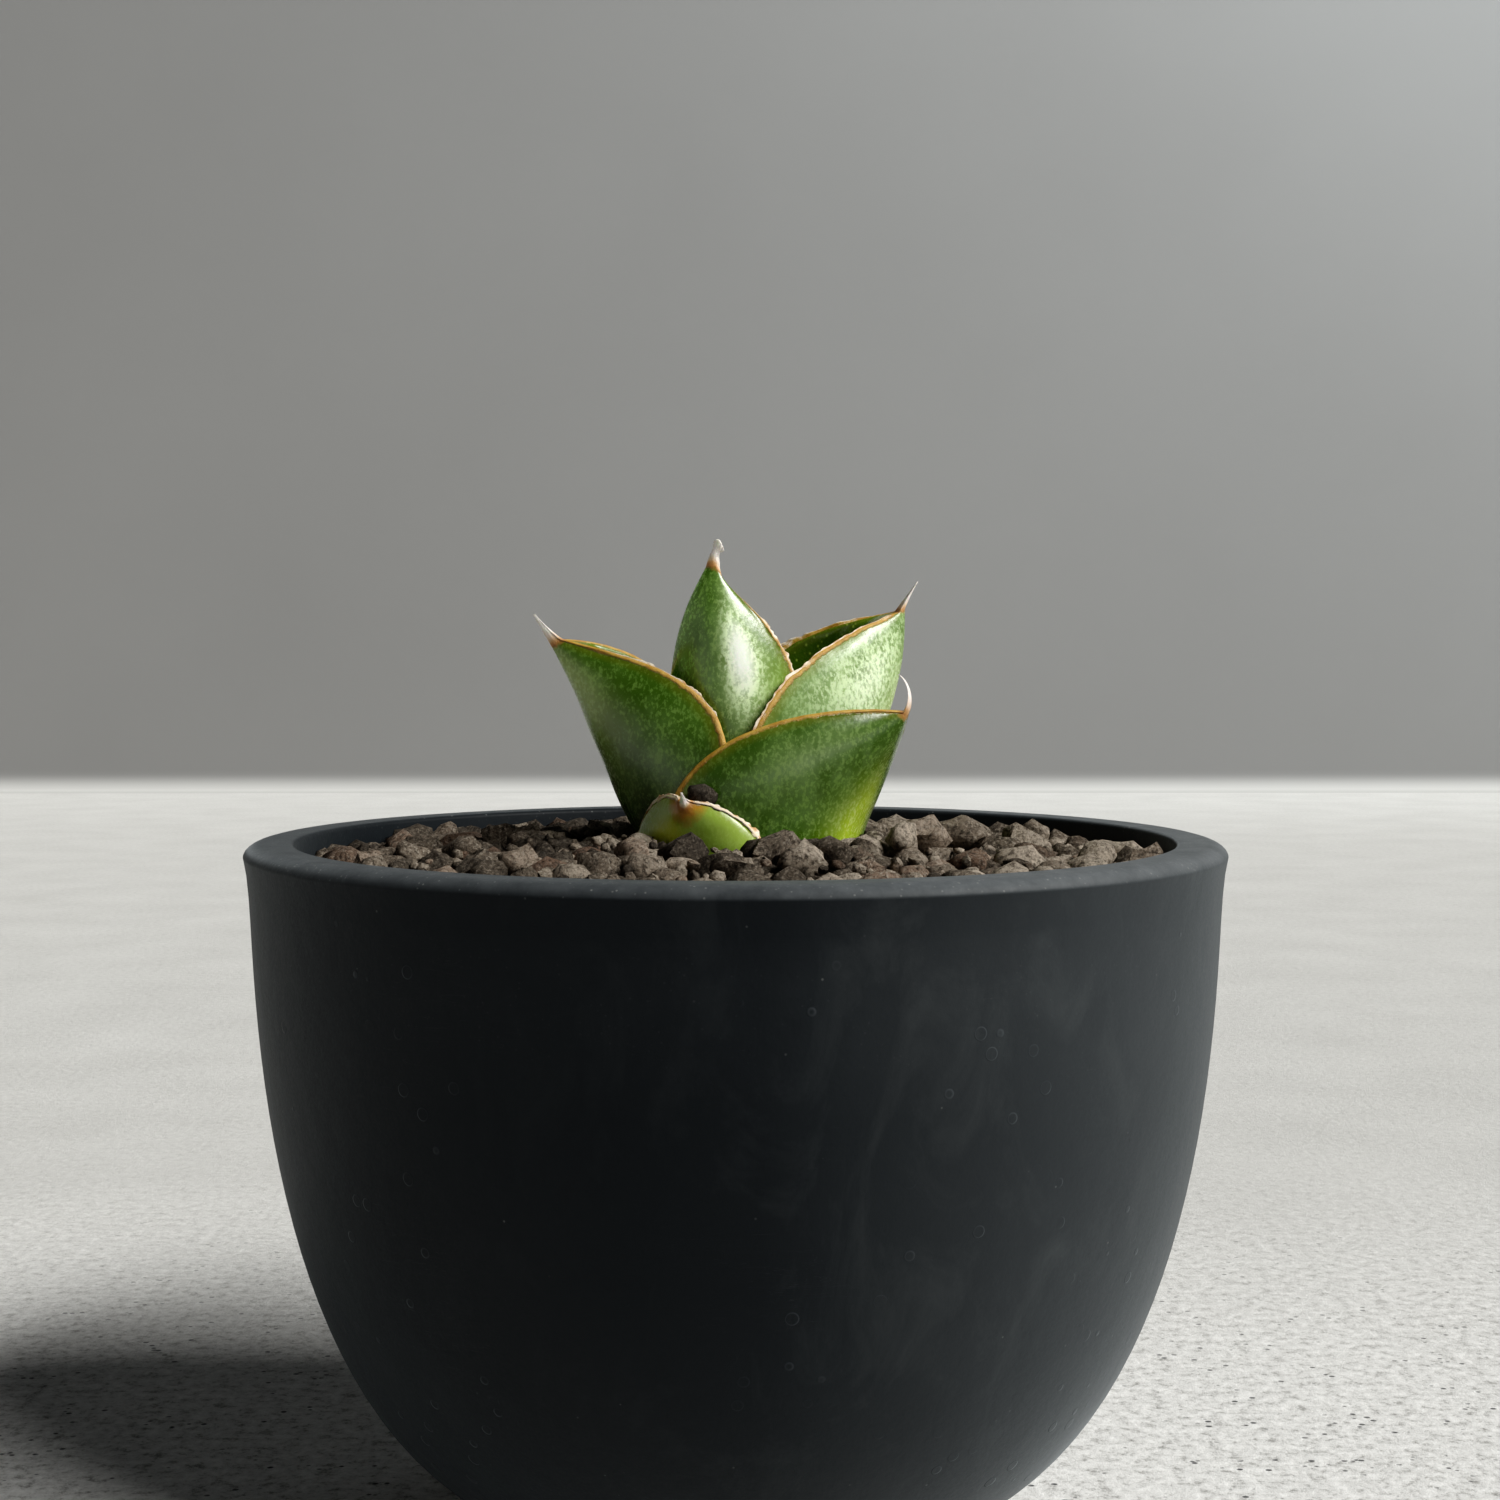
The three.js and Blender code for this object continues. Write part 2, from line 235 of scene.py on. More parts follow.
view = {
    "lens": 54,
    "place": (0, -0.23293, 0.0891),
    "down": 2.4957,
    "turn": 0.349,
    "clip": (0.01, 10),
    "floor": 4,
    "wall": 1.2,
    "wallHeight": 0.85,
    "sideHeight": 0.7,
    "cove": 0.014,
    "wallStart": 0.00005,
    "fade": (1, 12),
}

floorTones = {
    "dark": (0.52, 0.518, 0.50),
    "light": (0.68, 0.68, 0.66),
    "near": (0.78, 0.78, 0.765),
    "chalk": (0.90, 0.90, 0.885),
    "worn": (0.30, 0.295, 0.28),
    "pits": (0.085, 0.088, 0.092),
}

wallTones = {"dark": (0.224, 0.2215, 0.2175), "light": (0.256, 0.2545, 0.2505), "cove": (0.5, 0.5, 0.485)}


def setCamera():
    pitch = math.radians(90 - view["down"])
    bpy.ops.object.camera_add(location=view["place"], rotation=(pitch, 0, -math.radians(view["turn"])))
    camera = named("camera")
    camera.data.lens = view["lens"]
    camera.data.clip_start, camera.data.clip_end = view["clip"]
    bpy.context.scene.camera = camera


def paintFloor():
    material, tree, shader = startMaterial("pale_concrete", {"Roughness": 0.85})
    coords = mmCoords(tree)
    # sharp near the pot, calm further away
    near = rangeOf(axisOf(coords, "Y"), 150, 30)
    cloud = noiseOf(coords, 0.03, 4)
    grain = noiseOf(coords, 0.55, 6, 0.78)
    base = blendOf(cloud, floorTones["dark"], floorTones["light"])
    base = blendOf(productOf(near, 0.7), base, floorTones["near"])
    chalk = productOf(rangeOf(grain, 0.50, 0.62), rangeOf(near, 0, 1, 0.15, 0.9))
    base = blendOf(chalk, base, floorTones["chalk"])
    worn = productOf(rangeOf(grain, 0.48, 0.34), rangeOf(near, 0, 1, 0.25, 1.0))
    base = blendOf(worn, base, floorTones["worn"])
    pits = rangeOf(cellsOf(mmCoords(tree, (0.8, 1, 1)), 0.62), 0.21, 0.13)
    rare = rangeOf(noiseOf(coords, 0.16, 3), 0.50, 0.58)
    pits = productOf(productOf(pits, rare), near)
    base = blendOf(pits, base, floorTones["pits"])
    feed(shader, "Base Color", base)
    rise = mathOf(grain, productOf(pits, 0.7), "SUBTRACT")
    feed(shader, "Normal", bumpOf(rise, 0.5, 0.0006))
    return material


def paintWall():
    material, tree, shader = startMaterial("grey_wall", {"Roughness": 0.9})
    coords = mmCoords(tree)
    cloud = noiseOf(coords, 0.004, 3)
    grey = blendOf(cloud, wallTones["dark"], wallTones["light"])
    # the floor's tone runs a little way up the cove
    rise = rangeOf(axisOf(coords, "Z"), *view["fade"], interpolation_type="SMOOTHSTEP")
    feed(shader, "Base Color", blendOf(rise, wallTones["cove"], grey))
    return material


def setStage():
    reach = view["floor"] / 2
    bpy.ops.mesh.primitive_plane_add(size=view["floor"], location=(0, view["wall"] - reach, 0))
    floor = named("floor_and_wall")
    # a wall behind the pot, and lower ones on the three other sides
    for behind, height in ((True, view["wallHeight"]), (False, view["sideHeight"])):
        clearEdges()
        for edge in floor.data.edges:
            ends = [floor.data.vertices[v].co for v in edge.vertices]
            flat = all(abs(end.z) < 0.001 for end in ends)
            edge.select = flat and behind == all(end.y > reach * 0.95 for end in ends)
        editMode(True)
        bpy.ops.mesh.extrude_region_move(TRANSFORM_OT_translate={"value": (0, 0, height)})
        editMode(False)
    bakePlace(floor)
    seam = floor.modifiers.new("cove", "BEVEL")
    seam.width = view["cove"]
    seam.segments = 8
    seam.limit_method = "ANGLE"
    applyModifiers(floor)
    bpy.ops.object.shade_smooth_by_angle(angle=math.radians(30))
    wear(floor, paintFloor())
    floor.data.materials.append(paintWall())
    for face in floor.data.polygons:
        face.material_index = 1 if face.center.z > view["wallStart"] else 0


# a wide window on the right, in three panes of parallel light, and a lamp that washes the wall
window = {
    "azimuths": (-42, -25, -8),
    "height": 41,
    "distance": 2,
    "strength": 1.55,
    "softness": 19,
    "tint": (1, 0.99, 0.96),
}

wallLamp = {
    "at": (1.0, 0.32, 0.9),
    "to": (0.72, 1.2, 1.1),
    "size": (0.5, 0.5),
    "power": 14.6,
    "spread": 130,
    "tint": (0.9, 0.97, 1),
}

roomLight = {"tint": (0.8, 0.88, 0.95), "strength": 0.009}

# pairs of light and how bright it is shown
shadowTone = ((0.01, 0.0040), (0.03, 0.0195), (0.07, 0.059), (0.15, 0.148))


def addLight(kind, name, spot, toward, power, tint):
    aim = (Vector(toward) - Vector(spot)).to_track_quat("-Z", "Y").to_euler()
    bpy.ops.object.light_add(type=kind, location=spot, rotation=aim)
    light = named(name)
    light.data.energy = power
    light.data.color = tint
    return light.data


def setLights():
    up = math.radians(window["height"])
    for pane, azimuth in enumerate(window["azimuths"]):
        turn = math.radians(azimuth)
        toward = Vector((math.cos(turn) * math.cos(up), math.sin(turn) * math.cos(up), math.sin(up)))
        spot = toward * window["distance"]
        light = addLight("SUN", "window_%d" % pane, spot, (0, 0, 0), window["strength"], window["tint"])
        light.angle = math.radians(window["softness"])
    aimed = [wallLamp[key] for key in ("at", "to", "power", "tint")]
    lamp = addLight("AREA", "wall_lamp", *aimed)
    lamp.shape = "RECTANGLE"
    lamp.size, lamp.size_y = wallLamp["size"]
    lamp.spread = math.radians(wallLamp["spread"])
    scene = bpy.context.scene
    if not scene.world:
        scene.world = bpy.data.worlds.new("soft_grey")
    scene.world.use_nodes = True
    sky = scene.world.node_tree.nodes["Background"]
    sky.inputs["Color"].default_value = (*roomLight["tint"], 1)
    sky.inputs["Strength"].default_value = roomLight["strength"]
    scene.view_settings.view_transform = "Standard"
    # shadows as deep as a camera's, on the curve for all three colours
    scene.view_settings.use_curve_mapping = True
    tone = scene.view_settings.curve_mapping
    for light, shown in shadowTone:
        tone.curves[3].points.new(light, shown)
    tone.update()


setCamera()
setStage()
setLights()
print("camera, floor and lights")


# pot: rings drawn up from the drain hole, over the rim and down the inside

pot = {
    "sides": 160,
    "outsideRings": 34,
    "insideRings": 20,
    "crowd": 1.2,
    "height": 70,
    "corner": 50,
    "cornerDrop": 1.2,
    "shoulder": (2.1, 1.3),
    "shoulderTurns": (12, 24, 36, 48, 60, 74, 90),
    "crest": [(46.8, 70), (45.5, 69.99), (45.15, 69.93), (44.9, 69.75)],
    "mouth": 44.8,
    "mouthDrop": 0.5,
    "flare": 0.6,
    "fade": 2.5,
    "bowlDepth": 70.2,
    "round": 2.2,
    "full": 3.6,
    "cavityDepth": 65.2,
    "floor": 6,
    "foot": 22,
    "footHeight": 1.6,
    "recess": 17,
    "recessHeight": 1.2,
    "drain": 4.5,
}

potTones = {
    "dark": (0.0050, 0.0070, 0.0092),
    "light": (0.0095, 0.0118, 0.0140),
    # painted light on the right side, as a dusty haze
    "rightDustAndLight": (0.050, 0.056, 0.060),
    # dust on what faces up, and painted light on the top
    "veil": (0.150, 0.162, 0.170),
    "smear": (0.060, 0.066, 0.068),
    "blister": (0.09, 0.10, 0.11),
    "speck": (0.16, 0.165, 0.16),
    "caught": (0.26, 0.265, 0.255),
    "hair": (0.06, 0.062, 0.065),
}

potFinish = {
    "Roughness": 0.6,
    "Specular IOR Level": 0.12,
    "Sheen Weight": 0.13,
    "Sheen Roughness": 0.45,
    "Sheen Tint": (0.86, 0.95, 1, 1),
}


def bowlRadius(full, depth, fullDepth):
    return full * (1 - (depth / fullDepth) ** pot["round"]) ** (1 / pot["full"])


def wallRadius(depth):
    swell = pot["flare"] * math.exp((pot["cornerDrop"] - depth) / pot["fade"])
    return bowlRadius(pot["corner"] - pot["flare"], depth, pot["bowlDepth"]) + swell


# a depth between two; even steps of "share" crowd towards the second
def depthAt(first, last, share):
    return first + (last - first) * math.sin(share * math.pi / 2) ** pot["crowd"]


# each ring's radius and height; small steps beside a corner round it
def potRings():
    height, recess, foot, drain = (pot[key] for key in ("height", "recess", "foot", "drain"))
    ceiling = pot["recessHeight"]
    rings = [(drain + 0.3, ceiling), (recess - 0.3, ceiling), (recess, ceiling - 0.25)]
    rings += [(recess + 0.25, 0.2), (recess + 0.5, 0)]
    rings += [(foot - 0.5, 0), (foot - 0.1, 0.15), (foot, 0.5)]
    outside = pot["outsideRings"]
    for i in range(outside + 1):
        depth = depthAt(pot["cornerDrop"], height - pot["footHeight"], 1 - i / outside)
        if i == outside:
            rings.append((wallRadius(depth) - 0.03, height - depth - 0.15))
        rings.append((wallRadius(depth), height - depth))
    wide, tall = pot["shoulder"]
    for degrees in pot["shoulderTurns"]:
        turn = math.radians(degrees)
        rings.append((pot["corner"] - wide * (1 - math.cos(turn)), height - tall * (1 - math.sin(turn))))
    rings += pot["crest"]
    inside = pot["insideRings"]
    for i in range(inside + 1):
        depth = depthAt(pot["mouthDrop"], height - pot["floor"], i / inside)
        rings.append((bowlRadius(pot["mouth"], depth, pot["cavityDepth"]), height - depth))
    rings += [(drain + 0.4, pot["floor"]), (drain, pot["floor"] - 0.4), (drain, ceiling + 0.3)]
    return rings


def makePot():
    rings = potRings()
    radius, height = rings[0]
    bpy.ops.mesh.primitive_circle_add(vertices=pot["sides"], radius=radius * mm,
                                      location=(0, 0, height * mm))
    shell = named("pot_shell")
    editMode(True)
    bpy.ops.mesh.select_all(action="SELECT")
    for nextRadius, nextHeight in rings[1:] + rings[:1]:
        rise = (0, 0, (nextHeight - height) * mm)
        bpy.ops.mesh.extrude_region_move(TRANSFORM_OT_translate={"value": rise})
        share = nextRadius / radius
        bpy.ops.transform.resize(value=(share, share, 1))
        radius, height = nextRadius, nextHeight
    bpy.ops.mesh.select_all(action="SELECT")
    bpy.ops.mesh.remove_doubles(threshold=0.00001)
    bpy.ops.mesh.normals_make_consistent(inside=False)
    editMode(False)
    bakePlace(shell)
    bpy.ops.object.shade_smooth_by_angle(angle=math.radians(50))
    return shell


def paintPot():
    material, tree, shader = startMaterial("pot_plastic", potFinish)
    coords = mmCoords(tree)
    cloud = noiseOf(coords, 0.06, 4)
    fine = noiseOf(coords, 3.2, 4, 0.65)
    base = blendOf(cloud, potTones["dark"], potTones["light"])
    # dust and painted light: painted light on the right side, as a dusty haze; a dust veil on what faces
    # up, partly painted light on the top; and thin smears down the side
    across = axisOf(coords, "X")
    # painted light: the right side made lighter, as a haze of dust broken up by the cloud
    rightDustAndLight = productOf(rangeOf(across, 2, 46), rangeOf(cloud, 0.3, 0.7, 0.85, 1.05))
    base = blendOf(productOf(rightDustAndLight, 0.68), base, potTones["rightDustAndLight"])
    normal = addNode(tree, "ShaderNodeNewGeometry").outputs["Normal"]
    upward = rangeOf(axisOf(normal, "Z"), -0.1, 0.85)
    veil = rangeOf(noiseOf(coords, 0.35, 5, 0.7), 0.32, 0.75)
    # dust on what faces up, partly painted light on the top
    upDustAndLight = productOf(upward, rangeOf(veil, 0, 1, 0.45, 1))
    # none on the inner wall
    outward = addNode(tree, "ShaderNodeVectorMath", {0: normal, 1: mmCoords(tree, (1, 1, 0))},
                      operation="DOT_PRODUCT").outputs["Value"]
    upDustAndLight = productOf(upDustAndLight, rangeOf(outward, -25, -8))
    # more towards the right: painted light from that side
    upDustAndLight = productOf(upDustAndLight, rangeOf(across, -10, 20, 0.5, 0.95))
    base = blendOf(productOf(upDustAndLight, 0.8), base, potTones["veil"])
    smear = noiseOf(mmCoords(tree, (0.12, 0.12, 0.06)), 1.0, 6, 0.66, 0.8)
    smear = productOf(rangeOf(smear, 0.50, 0.80), rangeOf(across, -15, 30, 0.15, 1))
    base = blendOf(productOf(smear, 0.5), base, potTones["smear"])
    # small blisters and pale specks
    blister = rangeOf(cellsOf(coords, 0.30), 0.20, 0.17)
    dimple = rangeOf(cellsOf(coords, 0.30), 0.15, 0.18)
    some = rangeOf(noiseOf(coords, 0.05, 2), 0.56, 0.62)
    rings = productOf(productOf(blister, dimple), some)
    base = blendOf(productOf(rings, 0.25), base, potTones["blister"])
    speck = rangeOf(cellsOf(coords, 0.42), 0.06, 0.03)
    rare = rangeOf(noiseOf(coords, 0.11, 2), 0.54, 0.62)
    specks = productOf(speck, rare)
    base = blendOf(productOf(specks, 0.35), base, potTones["speck"])
    # grit dust caught on the rim
    caught = rangeOf(cellsOf(coords, 1.5), 0.20, 0.08)
    caught = productOf(productOf(caught, upward), rangeOf(veil, 0.25, 0.6))
    base = blendOf(productOf(caught, 0.6), base, potTones["caught"])
    # hair scratches
    hairs = noiseOf(mmCoords(tree, (0.05, 0.05, 0.9)), 1.0, 3, 0.5, 2.2)
    hair = rangeOf(mathOf(mathOf(hairs, 0.5, "SUBTRACT"), 0, "ABSOLUTE"), 0.006, 0.0)
    patch = rangeOf(noiseOf(coords, 0.045, 2), 0.55, 0.66)
    hair = productOf(hair, patch)
    base = blendOf(productOf(hair, 0.2), base, potTones["hair"])
    feed(shader, "Base Color", base)
    rough = rangeOf(fine, 0.3, 0.7, 0.5, 0.62)
    rough = sumOf(rough, productOf(smear, 0.12))
    feed(shader, "Roughness", rough)
    soft = bumpOf(noiseOf(coords, 0.25, 3), 0.2, 0.0004)
    micro = bumpOf(fine, 0.22, 0.00006, soft)
    raised = bumpOf(productOf(blister, some), 0.4, 0.00012, micro)
    feed(shader, "Normal", bumpOf(hair, -0.3, 0.00005, raised))
    return material


potShell = makePot()
wear(potShell, paintPot())
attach(potShell, "root")
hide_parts("pot")
print("pot")


# leaves: thick troughs round the plant's axis, all lengths in millimetres from the rim's crest

plantAxis = (1.4, 1.0)
leafBase = -6
tipWide = 0.7
seedStep = 2.7

# "keel" is a curve of (out, up), and the edges "right" and "left" are curves of (out, half width, up);
# "pale" and "goldAndGlow" are patches: (along, to a side, strength), "pale" with its (reach, spread) too;
# "pale" is waxy skin, and where it is strongest a painted highlight; "goldAndGlow" is yellow-green skin
# with painted glow;
# "shade" is painted light and shade: (at the foot, at the top, how much more towards the left edge)

leafPlans = {
    "leaf_spear": {
        "turn": 118,
        "keel": [(2.1, leafBase), (2.8, 2), (3, 9), (1.6, 15)],
        "right": [(-0.8, 1.7, leafBase), (-1.2, 2.3, 3), (-0.6, 2.2, 10), (0.8, tipWide, 15.3)],
        "left": [(-0.8, 1.7, leafBase), (-1.2, 2.3, 3), (-0.6, 2.2, 10), (0.8, tipWide, 15.3)],
        "wall": 1.8, "lip": 1,
        "spine": [(-0.1, 0, 1.2), (-0.2, 0, 2.4)],
        "pale": (0.5, 0.0, 0.2, 0.32, 0.38), "goldAndGlow": (0.5, 0, 0), "young": 0.6, "knob": 0,
        "ragged": 0.4, "dry": 0.0, "shade": (1, 1, 0),
    },
    "leaf_centre": {
        "turn": 226,
        "keel": [(4.7, leafBase), (7.3, 3.1), (9.1, 18.6), (5.9, 28.1)],
        "right": [(0.6, 3.75, leafBase), (-0.8, 7.5, 13.3), (-2.6, 7.9, 17.6), (5.2, 1.2, 26.2)],
        "left": [(0.6, 3.75, leafBase), (1.9, 8.8, 6.1), (3.3, 10.2, 17.8), (5.2, 1.2, 26.2)],
        "wall": 2.4, "lip": 1.2,
        "spine": [(-0.1, 0.1, 1.5), (-0.25, 0.65, 3)],
        # its strong pale patch is a painted highlight
        "pale": (0.68, 0.52, 1.5, 0.21, 0.23), "goldAndGlow": (0.5, 0.8, 0.15), "young": 0.0, "knob": 1,
        # painted light towards its left edge
        "ragged": 0.6, "dry": 0.75, "shade": (1.3, 1.15, 1.7),
    },
    "leaf_right": {
        "turn": 18,
        "keel": [(7, leafBase), (9.8, 3), (17.2, 11.2), (17.3, 23.7)],
        "right": [(1.2, 6.2, leafBase), (2.3, 9.5, 15.5), (-0.6, 9.2, 19.8), (16.5, 0.85, 23.4)],
        "left": [(-2.4, 6, leafBase), (-6.3, 10.1, 11.9), (-0.9, 9.6, 17.9), (16.5, 0.85, 23.4)],
        "wall": 2.6, "lip": 1.2,
        "spine": [(0.7, -0.2, 1.3), (1.5, -0.5, 2.7)],
        "pale": (0.72, -0.6, 1.02, 0.36, 0.42), "goldAndGlow": (0.5, -0.12, 0.7), "young": 0.0, "knob": 0,
        "ragged": 1.25, "dry": 0.4, "shade": (1.1, 1.05, 0),
    },
    "leaf_left": {
        "turn": 183,
        "keel": [(7.6, leafBase), (14.4, 1.7), (14.6, 8.3), (20.6, 19.8)],
        "right": [(2.1, 6.6, leafBase), (3.7, 10.4, 9.6), (-2.2, 8.8, 15.4), (19.4, tipWide, 20.4)],
        "left": [(1.6, 6.8, leafBase), (3.4, 10.5, 8.7), (4.8, 8.5, 19.4), (19.4, tipWide, 20.4)],
        "wall": 2.5, "lip": 1.2,
        "spine": [(1, 0, 1.1), (2.1, 0, 2.6)],
        "pale": (0.62, 0.55, 0.08, 0.32, 0.38), "goldAndGlow": (0.85, 0.3, 0.5), "young": 0.0, "knob": 0,
        # painted shade: dark at its foot
        "ragged": 0.55, "dry": 0.05, "shade": (0.2, 0.98, 0),
    },
    "leaf_front": {
        "turn": -25,
        "keel": [(10.2, leafBase), (9.4, 0.2), (14.4, 6.2), (17.4, 12.6)],
        "right": [(4.8, 8.9, leafBase), (7, 11.7, 0), (13.2, 7.6, 8.2), (17.3, tipWide, 13.1)],
        "left": [(-1.2, 9, leafBase), (-9.9, 13.9, 4.7), (3.8, 12.1, 14.8), (17.3, tipWide, 13.1)],
        "wall": 2.2, "lip": 1.1,
        "spine": [(0.4, 0, 1.3), (0.2, 0, 2.7), (-0.6, 0, 3.7)],
        # its strong yellow-green patch low on the keel is painted glow
        "pale": (0.66, -0.62, 0.36, 0.22, 0.26), "goldAndGlow": (0.34, 0.06, 1.7), "young": 0.0, "knob": 0,
        "ragged": 0.35, "dry": 0.0, "shade": (1.15, 0.85, 0),
    },
    "leaf_back": {
        "turn": 98,
        "keel": [(9.8, leafBase), (12.4, 0), (13.6, 5), (15.2, 11.6)],
        "right": [(5.6, 8.6, leafBase), (7.4, 9.8, 1), (11.4, 6.5, 8.6), (14.5, tipWide, 12.1)],
        "left": [(4.6, 8.4, leafBase), (5.5, 10, 2), (10.5, 7, 10), (14.5, tipWide, 12.1)],
        "wall": 2.2, "lip": 1.2,
        "spine": [(0.7, 0, 1.2), (1.3, 0, 2.6)],
        "pale": (0.6, 0.0, 0.5, 0.32, 0.38), "goldAndGlow": (0.4, 0, 0.5), "young": 0.0, "knob": 0,
        "ragged": 0.8, "dry": 0.5, "shade": (1, 1, 0),
    },
    "leaf_small": {
        "turn": 242,
        "keel": [(12.2, leafBase), (13, -2), (13.6, 1), (14.1, 3.6)],
        "right": [(8.3, 8, leafBase), (9.3, 7.9, -0.8), (10.9, 5.7, 4), (13.7, tipWide, 4.4)],
        "left": [(8.6, 6.5, leafBase), (10.2, 10.4, -0.5), (10.6, 5, 6.7), (13.7, tipWide, 4.4)],
        "wall": 1.8, "lip": 1,
        "spine": [(0.25, 0, 0.35), (0.5, 0, 0.9)],
        "pale": (0.5, 0.5, 0.35, 0.32, 0.38), "goldAndGlow": (0.6, -0.3, 1.4), "young": 1.0, "knob": 0,
        "ragged": 0.8, "dry": 1.4, "shade": (1.0, 1.1, 0),
    },
}

leafMesh = {
    "sections": 64,
    "crowd": 0.9,
    "spineSections": 14,
    "outside": 30,
    "cord": 6,
    "ledge": 2,
    "groove": 16,
    "dent": 0.22,
    "hornReach": 4,
}

cord = {
    "radius": 0.35,
    "outer": -25,
    "inner": 195,
    "bead": 0.4,
    "wave": 0.22,
    "inset": 0.75,
    "drop": 0.6,
    "thinner": 0.3,
}

spine = {
    "thin": 0.15,
    "taper": 1.1,
    "neck": 0.40,
    "knob": 0.16,
    "knobAt": 0.92,
    "knobReach": 0.07,
    "longer": 0.35,
    "rough": 0.2,
}

leafTones = {
    "deep": (0.030, 0.080, 0.003),
    "green": (0.064, 0.145, 0.006),
    # pale waxy skin, also the ground of the painted highlight
    "waxAndHighlight": (0.34, 0.48, 0.20),
    "bloom": (0.165, 0.270, 0.105),
    "fleck": (0.185, 0.315, 0.070),
    "paleFleck": (0.78, 0.92, 0.60),
    # painted highlight
    "paintedHighlight": (0.93, 0.98, 0.88),
    # yellow-green skin, and painted glow
    "goldAndGlow": (0.46, 0.63, 0.045),
    "goldFleck": (0.70, 0.84, 0.26),
    "young": (0.33, 0.47, 0.075),
    "youngGold": (0.50, 0.56, 0.02),
    "groove": (0.080, 0.155, 0.010),
    "dots": (0.42, 0.55, 0.12),
    "tinge": (0.25, 0.23, 0.02),
    "rust": (0.40, 0.195, 0.014),
    "lightRust": (0.58, 0.36, 0.060),
    "under": (0.19, 0.105, 0.006),
    "peeling": (0.88, 0.78, 0.62),
    "spot": (0.52, 0.22, 0.030),
    "spineFoot": (0.44, 0.18, 0.035),
    "spineMiddle": (0.74, 0.46, 0.22),
    "spinePoint": (0.96, 0.90, 0.82),
}

leafFinish = {
    "Roughness": 0.34,
    "Specular IOR Level": 0.7,
    "Subsurface Weight": 0.12,
    "Subsurface Radius": (0.0006, 0.0012, 0.0003),
    "Subsurface Scale": 1.0,
}


def seedOf(leafName):
    return list(leafPlans).index(leafName) * seedStep


def bezier(points, share):
    rest = 1 - share
    weights = (rest ** 3, 3 * rest * rest * share, 3 * rest * share * share, share ** 3)
    return [sum(w * p[i] for w, p in zip(weights, points)) for i in range(len(points[0]))]


# a point on a curve through "stops", the first at share 0 and the last at share 1
def through(stops, share):
    times = [i / (len(stops) - 1) for i in range(len(stops))]
    spot = Vector((0, 0, 0))
    for i, stop in enumerate(stops):
        weight = 1.0
        for j, time in enumerate(times):
            if j != i:
                weight *= (share - time) / (times[i] - time)
        spot += Vector(stop) * weight
    return spot


def leafRow(plan, along):
    keel = bezier(plan["keel"], along)
    return {
        "along": along,
        "keel": Vector((keel[0], 0, keel[1])),
        "right": Vector(bezier(plan["right"], along)),
        "left": Vector(bezier(plan["left"], along)),
    }


# a point of the leaf's outside, or of its groove; "side" runs from the left edge, -1, to the right, 1
def leafSkin(plan, row, side, inGroove):
    edge = row["left"] if side < 0 else row["right"]
    start = row["keel"].copy()
    wide = edge.y
    if inGroove:
        inward = (row["right"] + row["left"]) / 2
        inward.y = 0
        inward -= row["keel"]
        depth = inward.length
        along = row["along"]
        opened = 1 - smooth(along, 0.7, 1)
        grooveDepth = max(0, depth - plan["wall"] * (1 - 0.5 * along * along)) * opened
        start += inward.normalized() * (depth - grooveDepth)
        wide -= min(plan["lip"], 0.45 * wide)
    swing = abs(side) * math.pi / 2
    inShare = 1 - math.cos(swing)
    across = math.copysign(wide * math.sin(swing), side) if side else 0
    x = start.x + (edge.x - start.x) * inShare
    z = start.z + (edge.z - start.z) * inShare
    return Vector((x, across, z))


def placed(plan, point):
    turn = math.radians(plan["turn"])
    x = plantAxis[0] + point.x * math.cos(turn) - point.y * math.sin(turn)
    y = plantAxis[1] + point.x * math.sin(turn) + point.y * math.cos(turn)
    return Vector((x, y, pot["height"] + point.z)) * mm


# the section's stops in order: outside from right to left, cord, ledge, groove, ledge and cord again;
# the third number runs over a cord or ledge from outside to inside
def sectionStops():
    outside, beads, ledge, groove = (leafMesh[key] for key in ("outside", "cord", "ledge", "groove"))
    stops = [("outside", 0.95 - 1.9 * i / (outside - 1), 0) for i in range(outside)]
    stops += [("cord", -1, i / (beads - 1)) for i in range(beads)]
    stops += [("ledge", -1, (i + 1) / (ledge + 1)) for i in range(ledge)]
    stops += [("groove", -0.96 + 1.92 * i / (groove - 1), 0) for i in range(groove)]
    stops += [("ledge", 1, 1 - (i + 1) / (ledge + 1)) for i in range(ledge)]
    stops += [("cord", 1, 1 - i / (beads - 1)) for i in range(beads)]
    return stops


def cordPoint(plan, row, side, share, seed):
    along = row["along"]
    edge = row["left"] if side < 0 else row["right"]
    out = Vector((0, side, 0))
    up = Vector((edge.x - row["keel"].x, 0, edge.z - row["keel"].z)).normalized()
    beads = plan["ragged"] * wobble(along * 30, side * 5 + seed, 0.3)
    wave = wobble(along * 13, side * 5 + seed, 7.3)
    wave = plan["ragged"] * (wave + 0.5 * wobble(along * 41, side * 3 + seed, 8.1))
    radius = cord["radius"] * (1 + cord["bead"] * beads) * (1 - cord["thinner"] * smooth(along, 0.85, 1))
    middle = Vector((edge.x, edge.y * side, edge.z)) - out * radius * cord["inset"]
    middle += up * (cord["wave"] * wave * smooth(along, 0.1, 0.3) - radius * cord["drop"])
    angle = math.radians(cord["outer"] + (cord["inner"] - cord["outer"]) * share)
    return middle + (out * math.cos(angle) + up * math.sin(angle)) * radius, up


